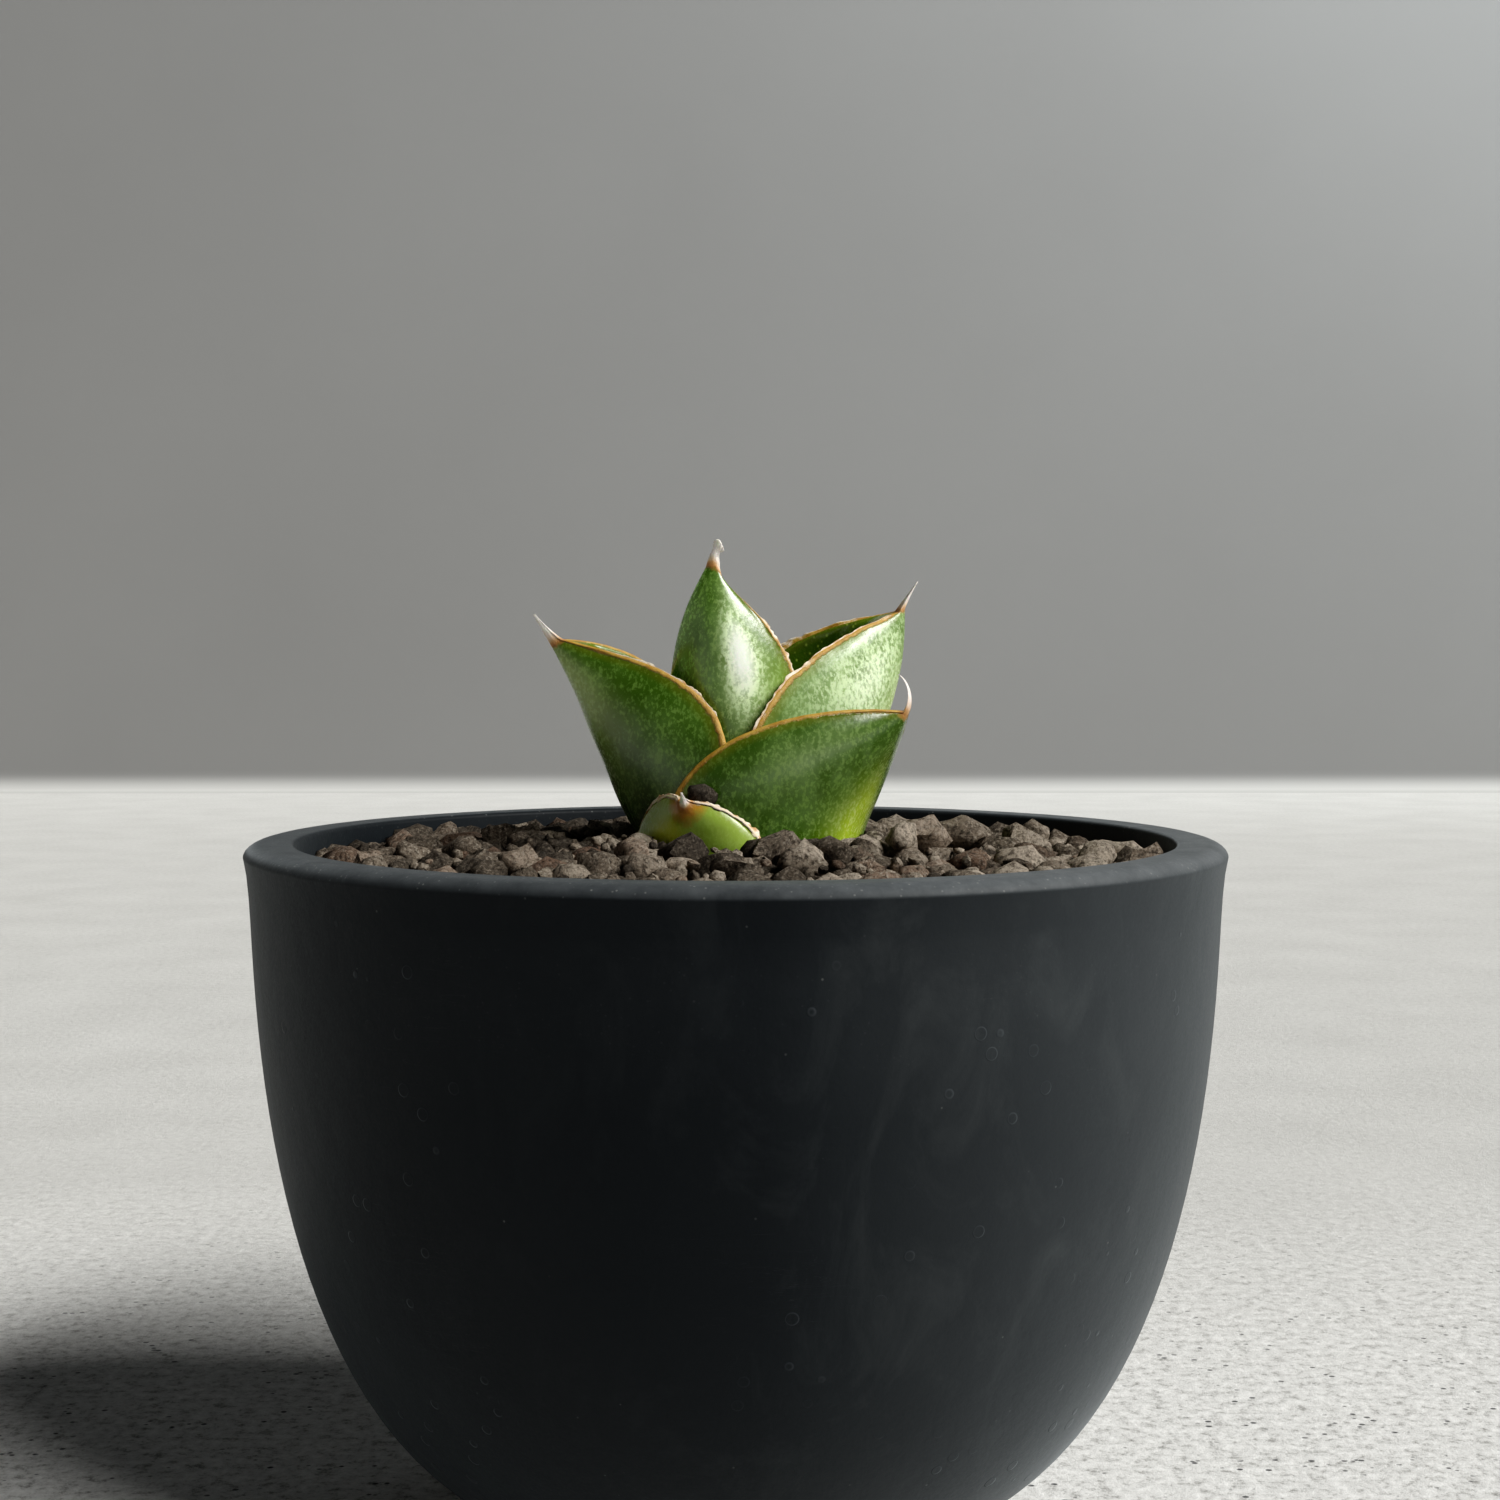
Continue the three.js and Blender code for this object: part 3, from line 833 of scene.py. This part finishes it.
def leafSection(plan, row, stops, seed):
    along = row["along"]
    ring = []
    for kind, side, share in stops:
        if kind == "cord":
            point = cordPoint(plan, row, side, share, seed)[0]
        elif kind == "ledge":
            point = cordPoint(plan, row, side, 1, seed)[0].lerp(leafSkin(plan, row, side, True), share)
        else:
            point = leafSkin(plan, row, side, kind == "groove")
            dent = wobble(along * 5, side * 1.6 + seed * 3.1, 1.7 if kind == "groove" else 0)
            away = Vector((math.cos(side * 1.57), math.sin(side * 1.57), 0))
            calm = (1 - abs(side)) * smooth(along, 0, 0.2) * (1 - smooth(along, 0.8, 1))
            point += away * leafMesh["dent"] * dent * calm
        ring.append(point)
    return ring


def spineRings(plan, tip, middle, seed):
    tail = leafMesh["spineSections"]
    path = [(0, 0, 0)] + plan["spine"]
    rings = []
    for i in range(tail):
        share = (i + 1) / tail
        narrow = spine["thin"] + (1 - spine["thin"]) * (1 - share) ** spine["taper"]
        away = through(path, share)
        if plan["knob"]:
            bulge = math.exp(-((share - spine["knobAt"]) / spine["knobReach"]) ** 2)
            narrow = max(narrow, spine["neck"]) + spine["knob"] * bulge
        else:
            away += (Vector(path[-1]) - Vector(path[-2])).normalized() * spine["longer"] * share ** 4
        ring = []
        for k, point in enumerate(tip):
            bumps = wobble(share * 5 + seed, k * 0.35, 2) * smooth(share, 0.1, 0.5)
            rough = 1 + spine["rough"] * bumps
            ring.append(middle + (point - middle) * narrow * rough + away)
        rings.append(ring)
    return rings


# the way round each section from every point to the nearer margin
def waysToMargin(rings):
    count = len(rings[0])
    crests = [leafMesh["outside"] + leafMesh["cord"] // 2, count - 1 - leafMesh["cord"] // 2]
    ways = []
    for ring in rings:
        steps = [(ring[(k + 1) % count] - ring[k]).length for k in range(count)]
        whole = sum(steps)
        row = []
        for k in range(count):
            spans = [sum(steps[min(k, crest):max(k, crest)]) for crest in crests]
            row.append(min(spans + [whole - span for span in spans]))
        ways.append(row)
    return ways


def patchAt(zone, along, side, reach=0.28, spread=0.22):
    centre, lean, strength = zone
    return strength * math.exp(-((along - centre) / reach) ** 2 - ((side - lean) / spread) ** 2)


def makeLeaf(name, plan, seed):
    stops = sectionStops()
    sections, tail = leafMesh["sections"], leafMesh["spineSections"]
    rings = []
    for i in range(sections + 1):
        row = leafRow(plan, (i / sections) ** leafMesh["crowd"])
        rings.append(leafSection(plan, row, stops, seed))
    middle = leafRow(plan, 1)["keel"].lerp(Vector((plan["right"][3][0], 0, plan["right"][3][2])), 0.5)
    rings += spineRings(plan, rings[-1], middle, seed)
    toMargin = waysToMargin(rings)
    leaf, spots = shapedTube(name + "_skin", len(stops), len(rings) - 1,
                             lambda ring, side: placed(plan, rings[ring][side]))
    marks = {key: [] for key in ("edgeGap", "horn", "pale", "goldAndGlow", "inner", "young", "dry", "shade")}
    foot, top, shy = plan["shade"]
    for ring, stop in spots:
        along = min(1, ring / sections)
        kind, side, _ = stops[stop]
        toTip = (rings[sections][stop] - rings[min(ring, sections)][stop]).length
        outer = 1 if kind in ("outside", "cord") else 0
        marks["edgeGap"].append(toMargin[ring][stop])
        nearTip = 1 - min(1, toTip / leafMesh["hornReach"])
        marks["horn"].append(1 + (ring - sections) / tail if ring >= sections else nearTip)
        marks["pale"].append(outer * patchAt(plan["pale"][:3], along, side, *plan["pale"][3:]))
        marks["goldAndGlow"].append(outer * patchAt(plan["goldAndGlow"], along, side))
        # painted light and shade: from foot to top, and lighter towards the left edge
        shade = foot + (top - foot) * smooth(along, 0.05, 0.6)
        marks["shade"].append(shade * (1 + shy * smooth(-side, -0.35, 0.5)))
        marks["inner"].append(0 if kind == "outside" else 1 if kind == "groove" else 0.5)
        for key in ("young", "dry"):
            marks[key].append(plan[key])
    for key, values in marks.items():
        pointAttribute(leaf, key, values)
    return leaf


def paintLeaf():
    material, tree, shader = startMaterial("leaf_green", leafFinish)
    coords = mmCoords(tree, (1, 1, 0.72))
    plain = mmCoords(tree)
    edgeGap, horn, pale, goldAndGlow = (fieldOf(tree, key) for key in ("edgeGap", "horn", "pale", "goldAndGlow"))
    inner, young, dryness = (fieldOf(tree, key) for key in ("inner", "young", "dry"))
    # deep green, greyer and lighter in the waxy middle, flecked finely, in blotches; where the pale patch
    # is strongest, a painted highlight
    blotch = noiseOf(coords, 0.35, 4, 0.62)
    middle = rangeOf(edgeGap, 0.8, 3.5)
    waxAndHighlight = productOf(pale, rangeOf(blotch, 0.34, 0.62, 0.45, 1.1))
    deep = blendOf(blotch, leafTones["deep"], leafTones["green"])
    base = blendOf(waxAndHighlight, deep, leafTones["waxAndHighlight"])
    bloom = productOf(rangeOf(edgeGap, 1.5, 7), rangeOf(blotch, 0.38, 0.62))
    base = blendOf(productOf(bloom, 0.42), base, leafTones["bloom"])
    fleck = noiseOf(coords, 2.7, 4, 0.66, 0.2)
    reach = rangeOf(blotch, 0.32, 0.66, -0.07, 0.05)
    reach = sumOf(reach, rangeOf(pale, 0, 1, -0.02, 0.08))
    flecks = rangeOf(sumOf(fleck, reach), 0.46, 0.61)
    strong = productOf(pale, pale)
    light = blendOf(strong, leafTones["fleck"], leafTones["paleFleck"])
    flecks = productOf(flecks, rangeOf(middle, 0, 1, 0.3, 0.85))
    base = blendOf(flecks, base, light)
    # painted highlight: near white where the pale patch is strongest
    base = blendOf(rangeOf(strong, 0.8, 2.1, 0, 0.95), base, leafTones["paintedHighlight"])
    # yellow-green where the tissue is thin or new; where it is thin this is painted glow, light shining
    # through
    golden = blendOf(flecks, leafTones["goldAndGlow"], leafTones["goldFleck"])
    base = blendOf(productOf(goldAndGlow, 0.85), base, golden)
    fresh = blendOf(goldAndGlow, leafTones["young"], leafTones["youngGold"])
    base = blendOf(productOf(young, 0.8), base, fresh)
    # the groove is darker, with bright dots
    dots = rangeOf(cellsOf(coords, 1.9), 0.30, 0.12)
    groove = blendOf(productOf(dots, 0.75), leafTones["groove"], leafTones["dots"])
    base = blendOf(rangeOf(inner, 0.5, 1), base, groove)
    # painted light and shade: the colour's value scaled by the "shade" attribute
    shaded = {"Color": base, "Value": fieldOf(tree, "shade")}
    base = addNode(tree, "ShaderNodeHueSaturation", shaded).outputs[0]
    # horny margin, ragged on its lower side, golden beside it and peeling in places
    ragged = sumOf(edgeGap, rangeOf(noiseOf(plain, 1.6, 4, 0.7), 0.3, 0.7, -0.16, 0.16))
    tinge = rangeOf(ragged, 2.2, 0.8)
    base = blendOf(productOf(tinge, 0.38), base, leafTones["tinge"])
    margin = productOf(rangeOf(ragged, 1.02, 0.82), rangeOf(horn, 1.0, 0.98))
    along = noiseOf(plain, 0.7, 4, 0.65)
    rust = blendOf(rangeOf(along, 0.35, 0.65), leafTones["rust"], leafTones["lightRust"])
    under = rangeOf(ragged, 0.60, 0.90)
    rust = blendOf(productOf(under, 0.7), rust, leafTones["under"])
    peeling = sumOf(noiseOf(plain, 0.42, 4, 0.65), rangeOf(dryness, 0, 1.5, -0.12, 0.20))
    worn = mathOf(ragged, rangeOf(dryness, 0.9, 1.4, 0, 0.35), "SUBTRACT")
    peeling = productOf(rangeOf(peeling, 0.50, 0.60), rangeOf(worn, 0.70, 0.46))
    rust = blendOf(productOf(peeling, 0.75), rust, leafTones["peeling"])
    hornRough = sumOf(horn, rangeOf(noiseOf(plain, 1.3, 3), 0.3, 0.7, -0.06, 0.06))
    spot = productOf(rangeOf(hornRough, 0.52, 0.80), young)
    base = blendOf(productOf(spot, 0.85), base, leafTones["spot"])
    base = blendOf(margin, base, rust)
    # spine: rusty where it leaves the leaf, bone white at its point
    bone = blendOf(rangeOf(hornRough, 0.95, 1.22), leafTones["spineFoot"], leafTones["spineMiddle"])
    bone = blendOf(rangeOf(hornRough, 1.10, 1.50), bone, leafTones["spinePoint"])
    base = blendOf(rangeOf(hornRough, 0.84, 0.98), base, bone)
    feed(shader, "Base Color", base)
    dry = mathOf(margin, rangeOf(hornRough, 0.86, 0.98), "MAXIMUM")
    rough = rangeOf(fleck, 0.3, 0.7, 0.22, 0.31)
    rough = sumOf(rough, productOf(dry, 0.26))
    feed(shader, "Roughness", rough)
    skin = bumpOf(noiseOf(coords, 1.1, 4, 0.6), 0.16, 0.00025)
    cells = bumpOf(noiseOf(plain, 6.5, 2), 0.12, 0.00004, skin)
    crust = bumpOf(productOf(noiseOf(plain, 4, 4, 0.7), dry), 0.7, 0.00018, cells)
    feed(shader, "Normal", crust)
    return material


leafPaint = paintLeaf()
leafPieces = {}
for leafName, leafPlan in leafPlans.items():
    leafPiece = makeLeaf(leafName, leafPlan, seedOf(leafName))
    wear(leafPiece, leafPaint)
    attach(leafPiece, "root")
    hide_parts(leafName)
    leafPieces[leafName] = leafPiece
print("leaves")


# dry skin peeling off some margins: ragged ribbons that stand on the cords

huskPlans = [
    {"leaf": "leaf_left", "side": 1, "from": 0.56, "to": 0.93, "tall": 0.30},
    {"leaf": "leaf_centre", "side": 1, "from": 0.52, "to": 0.86, "tall": 0.30},
    {"leaf": "leaf_right", "side": -1, "from": 0.40, "to": 0.97, "tall": 0.36},
    {"leaf": "leaf_right", "side": 1, "from": 0.50, "to": 0.95, "tall": 0.34},
    {"leaf": "leaf_back", "side": 1, "from": 0.45, "to": 0.90, "tall": 0.4},
    {"leaf": "leaf_small", "side": 1, "from": 0.25, "to": 0.98, "tall": 0.45},
    {"leaf": "leaf_small", "side": -1, "from": 0.25, "to": 0.98, "tall": 0.5},
]
husk = {"steps": 70, "rows": 3, "thick": 0.08, "sunk": 0.15, "crest": 0.42}
huskTones = {"brown": (0.50, 0.28, 0.11), "pale": (0.88, 0.80, 0.66)}


def makeHusk(number, plan):
    leafPlan = leafPlans[plan["leaf"]]
    seed = seedOf(plan["leaf"])
    bpy.ops.mesh.primitive_grid_add(x_subdivisions=husk["steps"], y_subdivisions=husk["rows"], size=1)
    ribbon = named("husk_%d" % number)
    for point in ribbon.data.vertices:
        step = point.co.x + 0.5
        rise = point.co.y + 0.5
        along = plan["from"] + (plan["to"] - plan["from"]) * step
        crest, up = cordPoint(leafPlan, leafRow(leafPlan, along), plan["side"], husk["crest"], seed)
        ragged = wobble(step * 7, number * 3.7, 0.5) + 0.5 * wobble(step * 29, number, 4.5)
        tall = plan["tall"] * clamp(0.35 + 1.2 * ragged) * smooth(step, 0, 0.06) * smooth(step, 1, 0.94)
        curl = 0.2 * wobble(step * 9, number * 1.3, 9.5)
        spot = crest + up * (rise * (tall + husk["sunk"]) - husk["sunk"])
        spot.y += plan["side"] * rise * rise * (0.12 + curl) * (0.4 + tall)
        point.co = placed(leafPlan, spot)
    sheet = ribbon.modifiers.new("thickness", "SOLIDIFY")
    sheet.thickness = husk["thick"] * mm
    sheet.offset = 0
    applyModifiers(ribbon)
    facesOutward(ribbon)
    bpy.ops.object.shade_smooth()
    return ribbon


def paintHusk():
    material, tree, shader = startMaterial("dry_skin", {"Roughness": 0.7})
    coords = mmCoords(tree)
    streak = noiseOf(coords, 0.9, 4, 0.65)
    base = blendOf(rangeOf(streak, 0.36, 0.58), huskTones["brown"], huskTones["pale"])
    feed(shader, "Base Color", base)
    feed(shader, "Normal", bumpOf(streak, 0.4, 0.0002))
    return material


leafHusks = joinAll([makeHusk(number, plan) for number, plan in enumerate(huskPlans)], "leaf_husks")
wear(leafHusks, paintHusk())
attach(leafHusks, "root")
print("husks")


# grit: a bed copied from the soil's own shape with its top lowered, and loose grains over it

grit = {
    "latticeSeed": 4711,
    "kindSeed": 500,
    "placeSeed": 29,
    "turnSeed": 83,
    "spacing": 5,
    "stray": 0.2,
    "uneven": 2.1,
    "atWall": -1.8,
    "atPlant": 0.4,
    "slope": (14, 40),
    "bedTop": 65.5,
    "bedDrop": 3.2,
    "nestDepth": 4.2,
    "kinds": 14,
    "crumbKinds": 6,
    "lumpy": 0.38,
    "crumbLumpy": 0.25,
    "cuts": 5,
    "cutDepth": (0.55, 0.85),
    "cutShare": 0.6,
    "large": (1.7, 2.6),
    "medium": (0.9, 1.7),
    "seams": 0.72,
    "crumb": (0.35, 0.95),
    "crumbs": 650,
    "crumbReach": 43.5,
    "pulledIn": 2.2,
    "sunk": 0.72,
    "stretch": ((0.95, 1.35), (0.75, 1.0), (0.68, 1.0)),
    "tilt": 0.6,
    "darkest": 0.14,
    # painted light: grains lighter towards the right, where the light comes from
    "paintedLightRight": 0.28,
    "placed": [
        ((-3.6, -9.9, 74.9), 1.35, 0.12),
        ((19.2, -8.0, 70.5), 2.2, 0.75),
        ((23.0, -5.0, 70.6), 2.2, 0.5),
        ((16.6, -11.6, 70.6), 2.0, 0.9),
    ],
}

# pairs of a grain's tone and its colour
grainTones = (
    (0.0, (0.040, 0.034, 0.028)),
    (0.25, (0.115, 0.094, 0.073)),
    (0.6, (0.260, 0.213, 0.166)),
    (1.0, (0.620, 0.525, 0.420)),
)
gritTones = {"warm": (0.30, 0.185, 0.130), "pores": (0.026, 0.021, 0.017), "dust": (0.64, 0.56, 0.46)}


# the same draws as the source's, so that the lattice is the same
def seededDraws(seed):
    state, factor, modulus = seed, 16807, 2147483647
    while True:
        state = (state * factor) % modulus
        yield state / modulus


def gritHeight(radius):
    share = smooth(radius, *grit["slope"])
    return grit["atPlant"] + (grit["atWall"] - grit["atPlant"]) * share


def latticePlaces():
    draws = seededDraws(grit["latticeSeed"])
    reach = math.ceil(pot["mouth"] / grit["spacing"] / 0.8) + 1
    places = {}
    for row in range(-reach, reach + 1):
        for column in range(-reach, reach + 1):
            x = grit["spacing"] * (column + row / 2 + grit["stray"] * (2 * next(draws) - 1))
            y = grit["spacing"] * (row * math.sqrt(0.75) + grit["stray"] * (2 * next(draws) - 1))
            up = grit["uneven"] * (next(draws) - 0.5)
            places[column, row] = Vector((x, y, gritHeight(math.hypot(x, y)) + up))
    return places


# a lump cut by flat planes and roughened; "fine" 2 has 80 faces, 1 has 20
def makeGrainKind(number, fine, lumpy):
    bpy.ops.mesh.primitive_ico_sphere_add(subdivisions=fine, radius=1)
    kind = named("grain_kind_%02d" % number)
    rng = random.Random(grit["kindSeed"] + number)
    cuts = []
    for _ in range(grit["cuts"]):
        normal = Vector([rng.uniform(-1, 1) for _ in range(3)]).normalized()
        cuts.append((normal, rng.uniform(*grit["cutDepth"])))
    for point in kind.data.vertices:
        spot = point.co.copy()
        for normal, limit in cuts:
            over = spot.dot(normal) - limit
            if over > 0:
                spot -= normal * over * grit["cutShare"]
        bump = noise.noise(point.co * 1.3 + Vector((number * 3.3, 0, 0)))
        bump += 0.9 * noise.noise(point.co * 2.6 + Vector((0, number * 1.9, 0)))
        point.co = spot * (1.06 + lumpy * bump)
    bpy.ops.object.shade_smooth_by_angle(angle=math.radians(58))
    return kind


# where the leaves stand in the soil, its top is deep down
def insideNest(soilTree, x, y):
    hit = soilTree.ray_cast(Vector((x, y, 110)) * mm, Vector((0, 0, -1)))
    return hit[0] is None or hit[0].z < (pot["height"] - grit["nestDepth"]) * mm


def roomAt(trees, spot):
    return min(tree.find_nearest(spot * mm)[3] for tree in trees) / mm


# each grain's middle, half its size and its tone: big ones on the lattice, smaller ones in its seams,
# and crumbs anywhere
def grainPlaces():
    rng = random.Random(grit["placeSeed"])
    depsgraph = bpy.context.evaluated_depsgraph_get()
    soilTree = BVHTree.FromObject(nodes["soil"], depsgraph)
    leafTrees = [BVHTree.FromObject(piece, depsgraph) for piece in leafPieces.values()]
    places = latticePlaces()
    wanted = []
    for (column, row), middle in places.items():
        wanted.append((middle, rng.uniform(*grit["large"]), 0.0))
        for steps in (((1, 0), (0, 1)), ((0, 1), (-1, 1))):
            others = [places.get((column + a, row + b)) for a, b in steps]
            if all(others) and rng.random() < grit["seams"]:
                seam = (middle + others[0] + others[1]) / 3
                wanted.append((seam, rng.uniform(*grit["medium"]), rng.uniform(0.1, 1.0)))
    for _ in range(grit["crumbs"]):
        angle, radius = rng.uniform(0, math.tau), grit["crumbReach"] * math.sqrt(rng.random())
        spot = Vector((radius * math.cos(angle), radius * math.sin(angle), gritHeight(radius)))
        wanted.append((spot, rng.uniform(*grit["crumb"]), rng.uniform(-0.2, 0.6)))
    kept = []
    for top, size, sink in wanted:
        radius = math.hypot(top.x, top.y)
        limit = pot["mouth"] - 0.5 - size * 0.9
        if radius > limit + grit["pulledIn"]:
            continue
        x, y = top.x, top.y
        if radius > limit:
            x, y = x * limit / radius, y * limit / radius
        if insideNest(soilTree, x, y):
            continue
        spot = Vector((x, y, pot["height"] + top.z - sink - size * grit["sunk"]))
        room = roomAt(leafTrees, spot)
        if room < size * 0.55:
            continue
        kept.append((spot, min(size, room * 1.05), rng.random()))
    for spot, size, tone in grit["placed"]:
        kept.append((Vector(spot), size, tone))
    return kept


def makeGrains():
    kinds = [makeGrainKind(number, 2, grit["lumpy"]) for number in range(grit["kinds"])]
    crumbNumbers = range(50, 50 + grit["crumbKinds"])
    crumbKinds = [makeGrainKind(number, 1, grit["crumbLumpy"]) for number in crumbNumbers]
    rng = random.Random(grit["turnSeed"])
    grains = []
    scene = bpy.context.scene.collection
    for number, (spot, size, tone) in enumerate(grainPlaces()):
        choice = crumbKinds if size < grit["crumb"][1] else kinds
        kind = choice[number % len(choice)]
        grain = kind.copy()
        grain.data = kind.data.copy()
        grain.name = "grain_%04d" % number
        turn = Matrix.Rotation(rng.uniform(0, math.tau), 4, "Z")
        turn = turn @ Matrix.Rotation(rng.uniform(-grit["tilt"], grit["tilt"]), 4, "X")
        turn = turn @ Matrix.Rotation(rng.uniform(0, math.tau), 4, "Z")
        stretch = Matrix.Diagonal([rng.uniform(*span) for span in grit["stretch"]] + [1])
        grain.data.transform(Matrix.Translation(spot * mm) @ turn @ stretch @ Matrix.Scale(size * mm, 4))
        count = len(grain.data.vertices)
        # painted light: each grain's tone lighter the further right it lies
        shown = clamp(tone + grit["paintedLightRight"] * spot.x / pot["mouth"], grit["darkest"])
        pointAttribute(grain, "tone", [shown] * count)
        pointAttribute(grain, "warm", [rng.random()] * count)
        scene.objects.link(grain)
        grains.append(grain)
    joined = joinAll(grains, "grit_grains")
    for kind in kinds + crumbKinds:
        bpy.data.objects.remove(kind)
    print("grains:", len(grains))
    return joined


def makeBed():
    bed = nodes["soil"].copy()
    bed.data = nodes["soil"].data.copy()
    bed.name = "grit_bed"
    for key in list(bed.keys()):
        del bed[key]
    bpy.context.scene.collection.objects.link(bed)
    bed.parent = None
    activate(bed)
    editMode(True)
    bpy.ops.mesh.select_all(action="SELECT")
    bpy.ops.mesh.remove_doubles(threshold=0.000002)
    editMode(False)
    for point in bed.data.vertices:
        if point.co.z > grit["bedTop"] * mm:
            point.co.z -= grit["bedDrop"] * mm
    count = len(bed.data.vertices)
    # the bed takes the darkest tone: painted shade in the gaps between the grains
    pointAttribute(bed, "tone", [0.0] * count)
    pointAttribute(bed, "warm", [0.3] * count)
    return bed


def paintGrit():
    finish = {"Roughness": 0.93, "Specular IOR Level": 0.2}
    material, tree, shader = startMaterial("volcanic_grit", finish)
    coords = mmCoords(tree)
    tone, warm = fieldOf(tree, "tone"), fieldOf(tree, "warm")
    ramp = addNode(tree, "ShaderNodeValToRGB", {"Fac": tone})
    while len(ramp.color_ramp.elements) < len(grainTones):
        ramp.color_ramp.elements.new(0.5)
    for element, (where, colour) in zip(ramp.color_ramp.elements, grainTones):
        element.position = where
        element.color = (*colour, 1)
    base = blendOf(rangeOf(warm, 0.82, 1.0, 0, 0.5), ramp.outputs[0], gritTones["warm"])
    grainy = noiseOf(coords, 1.5, 5, 0.75)
    base = blendOf(rangeOf(grainy, 0.38, 0.54, 0.8, 0.0), base, gritTones["pores"])
    dust = rangeOf(noiseOf(coords, 2.6, 4, 0.7), 0.50, 0.68, 0, 0.6)
    dust = productOf(dust, rangeOf(tone, 0.1, 0.5, 0.25, 1))
    base = blendOf(dust, base, gritTones["dust"])
    feed(shader, "Base Color", base)
    pores = bumpOf(cellsOf(coords, 2.0), 0.6, 0.0004)
    lumps = bumpOf(noiseOf(coords, 0.9, 3, 0.6), 0.8, 0.0012, pores)
    crust = bumpOf(noiseOf(coords, 2.8, 5, 0.75), 1.0, 0.0006, lumps)
    feed(shader, "Normal", crust)
    return material


gritPaint = paintGrit()
gritBed = makeBed()
gritGrains = makeGrains()
for gritPiece in (gritBed, gritGrains):
    wear(gritPiece, gritPaint)
    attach(gritPiece, "root")
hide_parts("soil")
print("grit")


# rhizome and roots keep their shape and get a papery skin

rhizomeTones = {"dark": (0.36, 0.19, 0.075), "light": (0.58, 0.36, 0.16), "spots": (0.20, 0.11, 0.05)}


def paintRhizome():
    material, tree, shader = startMaterial("rhizome_skin", {"Roughness": 0.8})
    coords = mmCoords(tree)
    bands = noiseOf(mmCoords(tree, (0.3, 0.3, 1.6)), 1.0, 4)
    base = blendOf(bands, rhizomeTones["dark"], rhizomeTones["light"])
    spots = rangeOf(noiseOf(coords, 1.4, 4, 0.7), 0.5, 0.7)
    feed(shader, "Base Color", blendOf(spots, base, rhizomeTones["spots"]))
    feed(shader, "Normal", bumpOf(bands, 0.5, 0.0004))
    return material


wear(nodes["rhizome_and_roots"], paintRhizome())
print("rhizome")
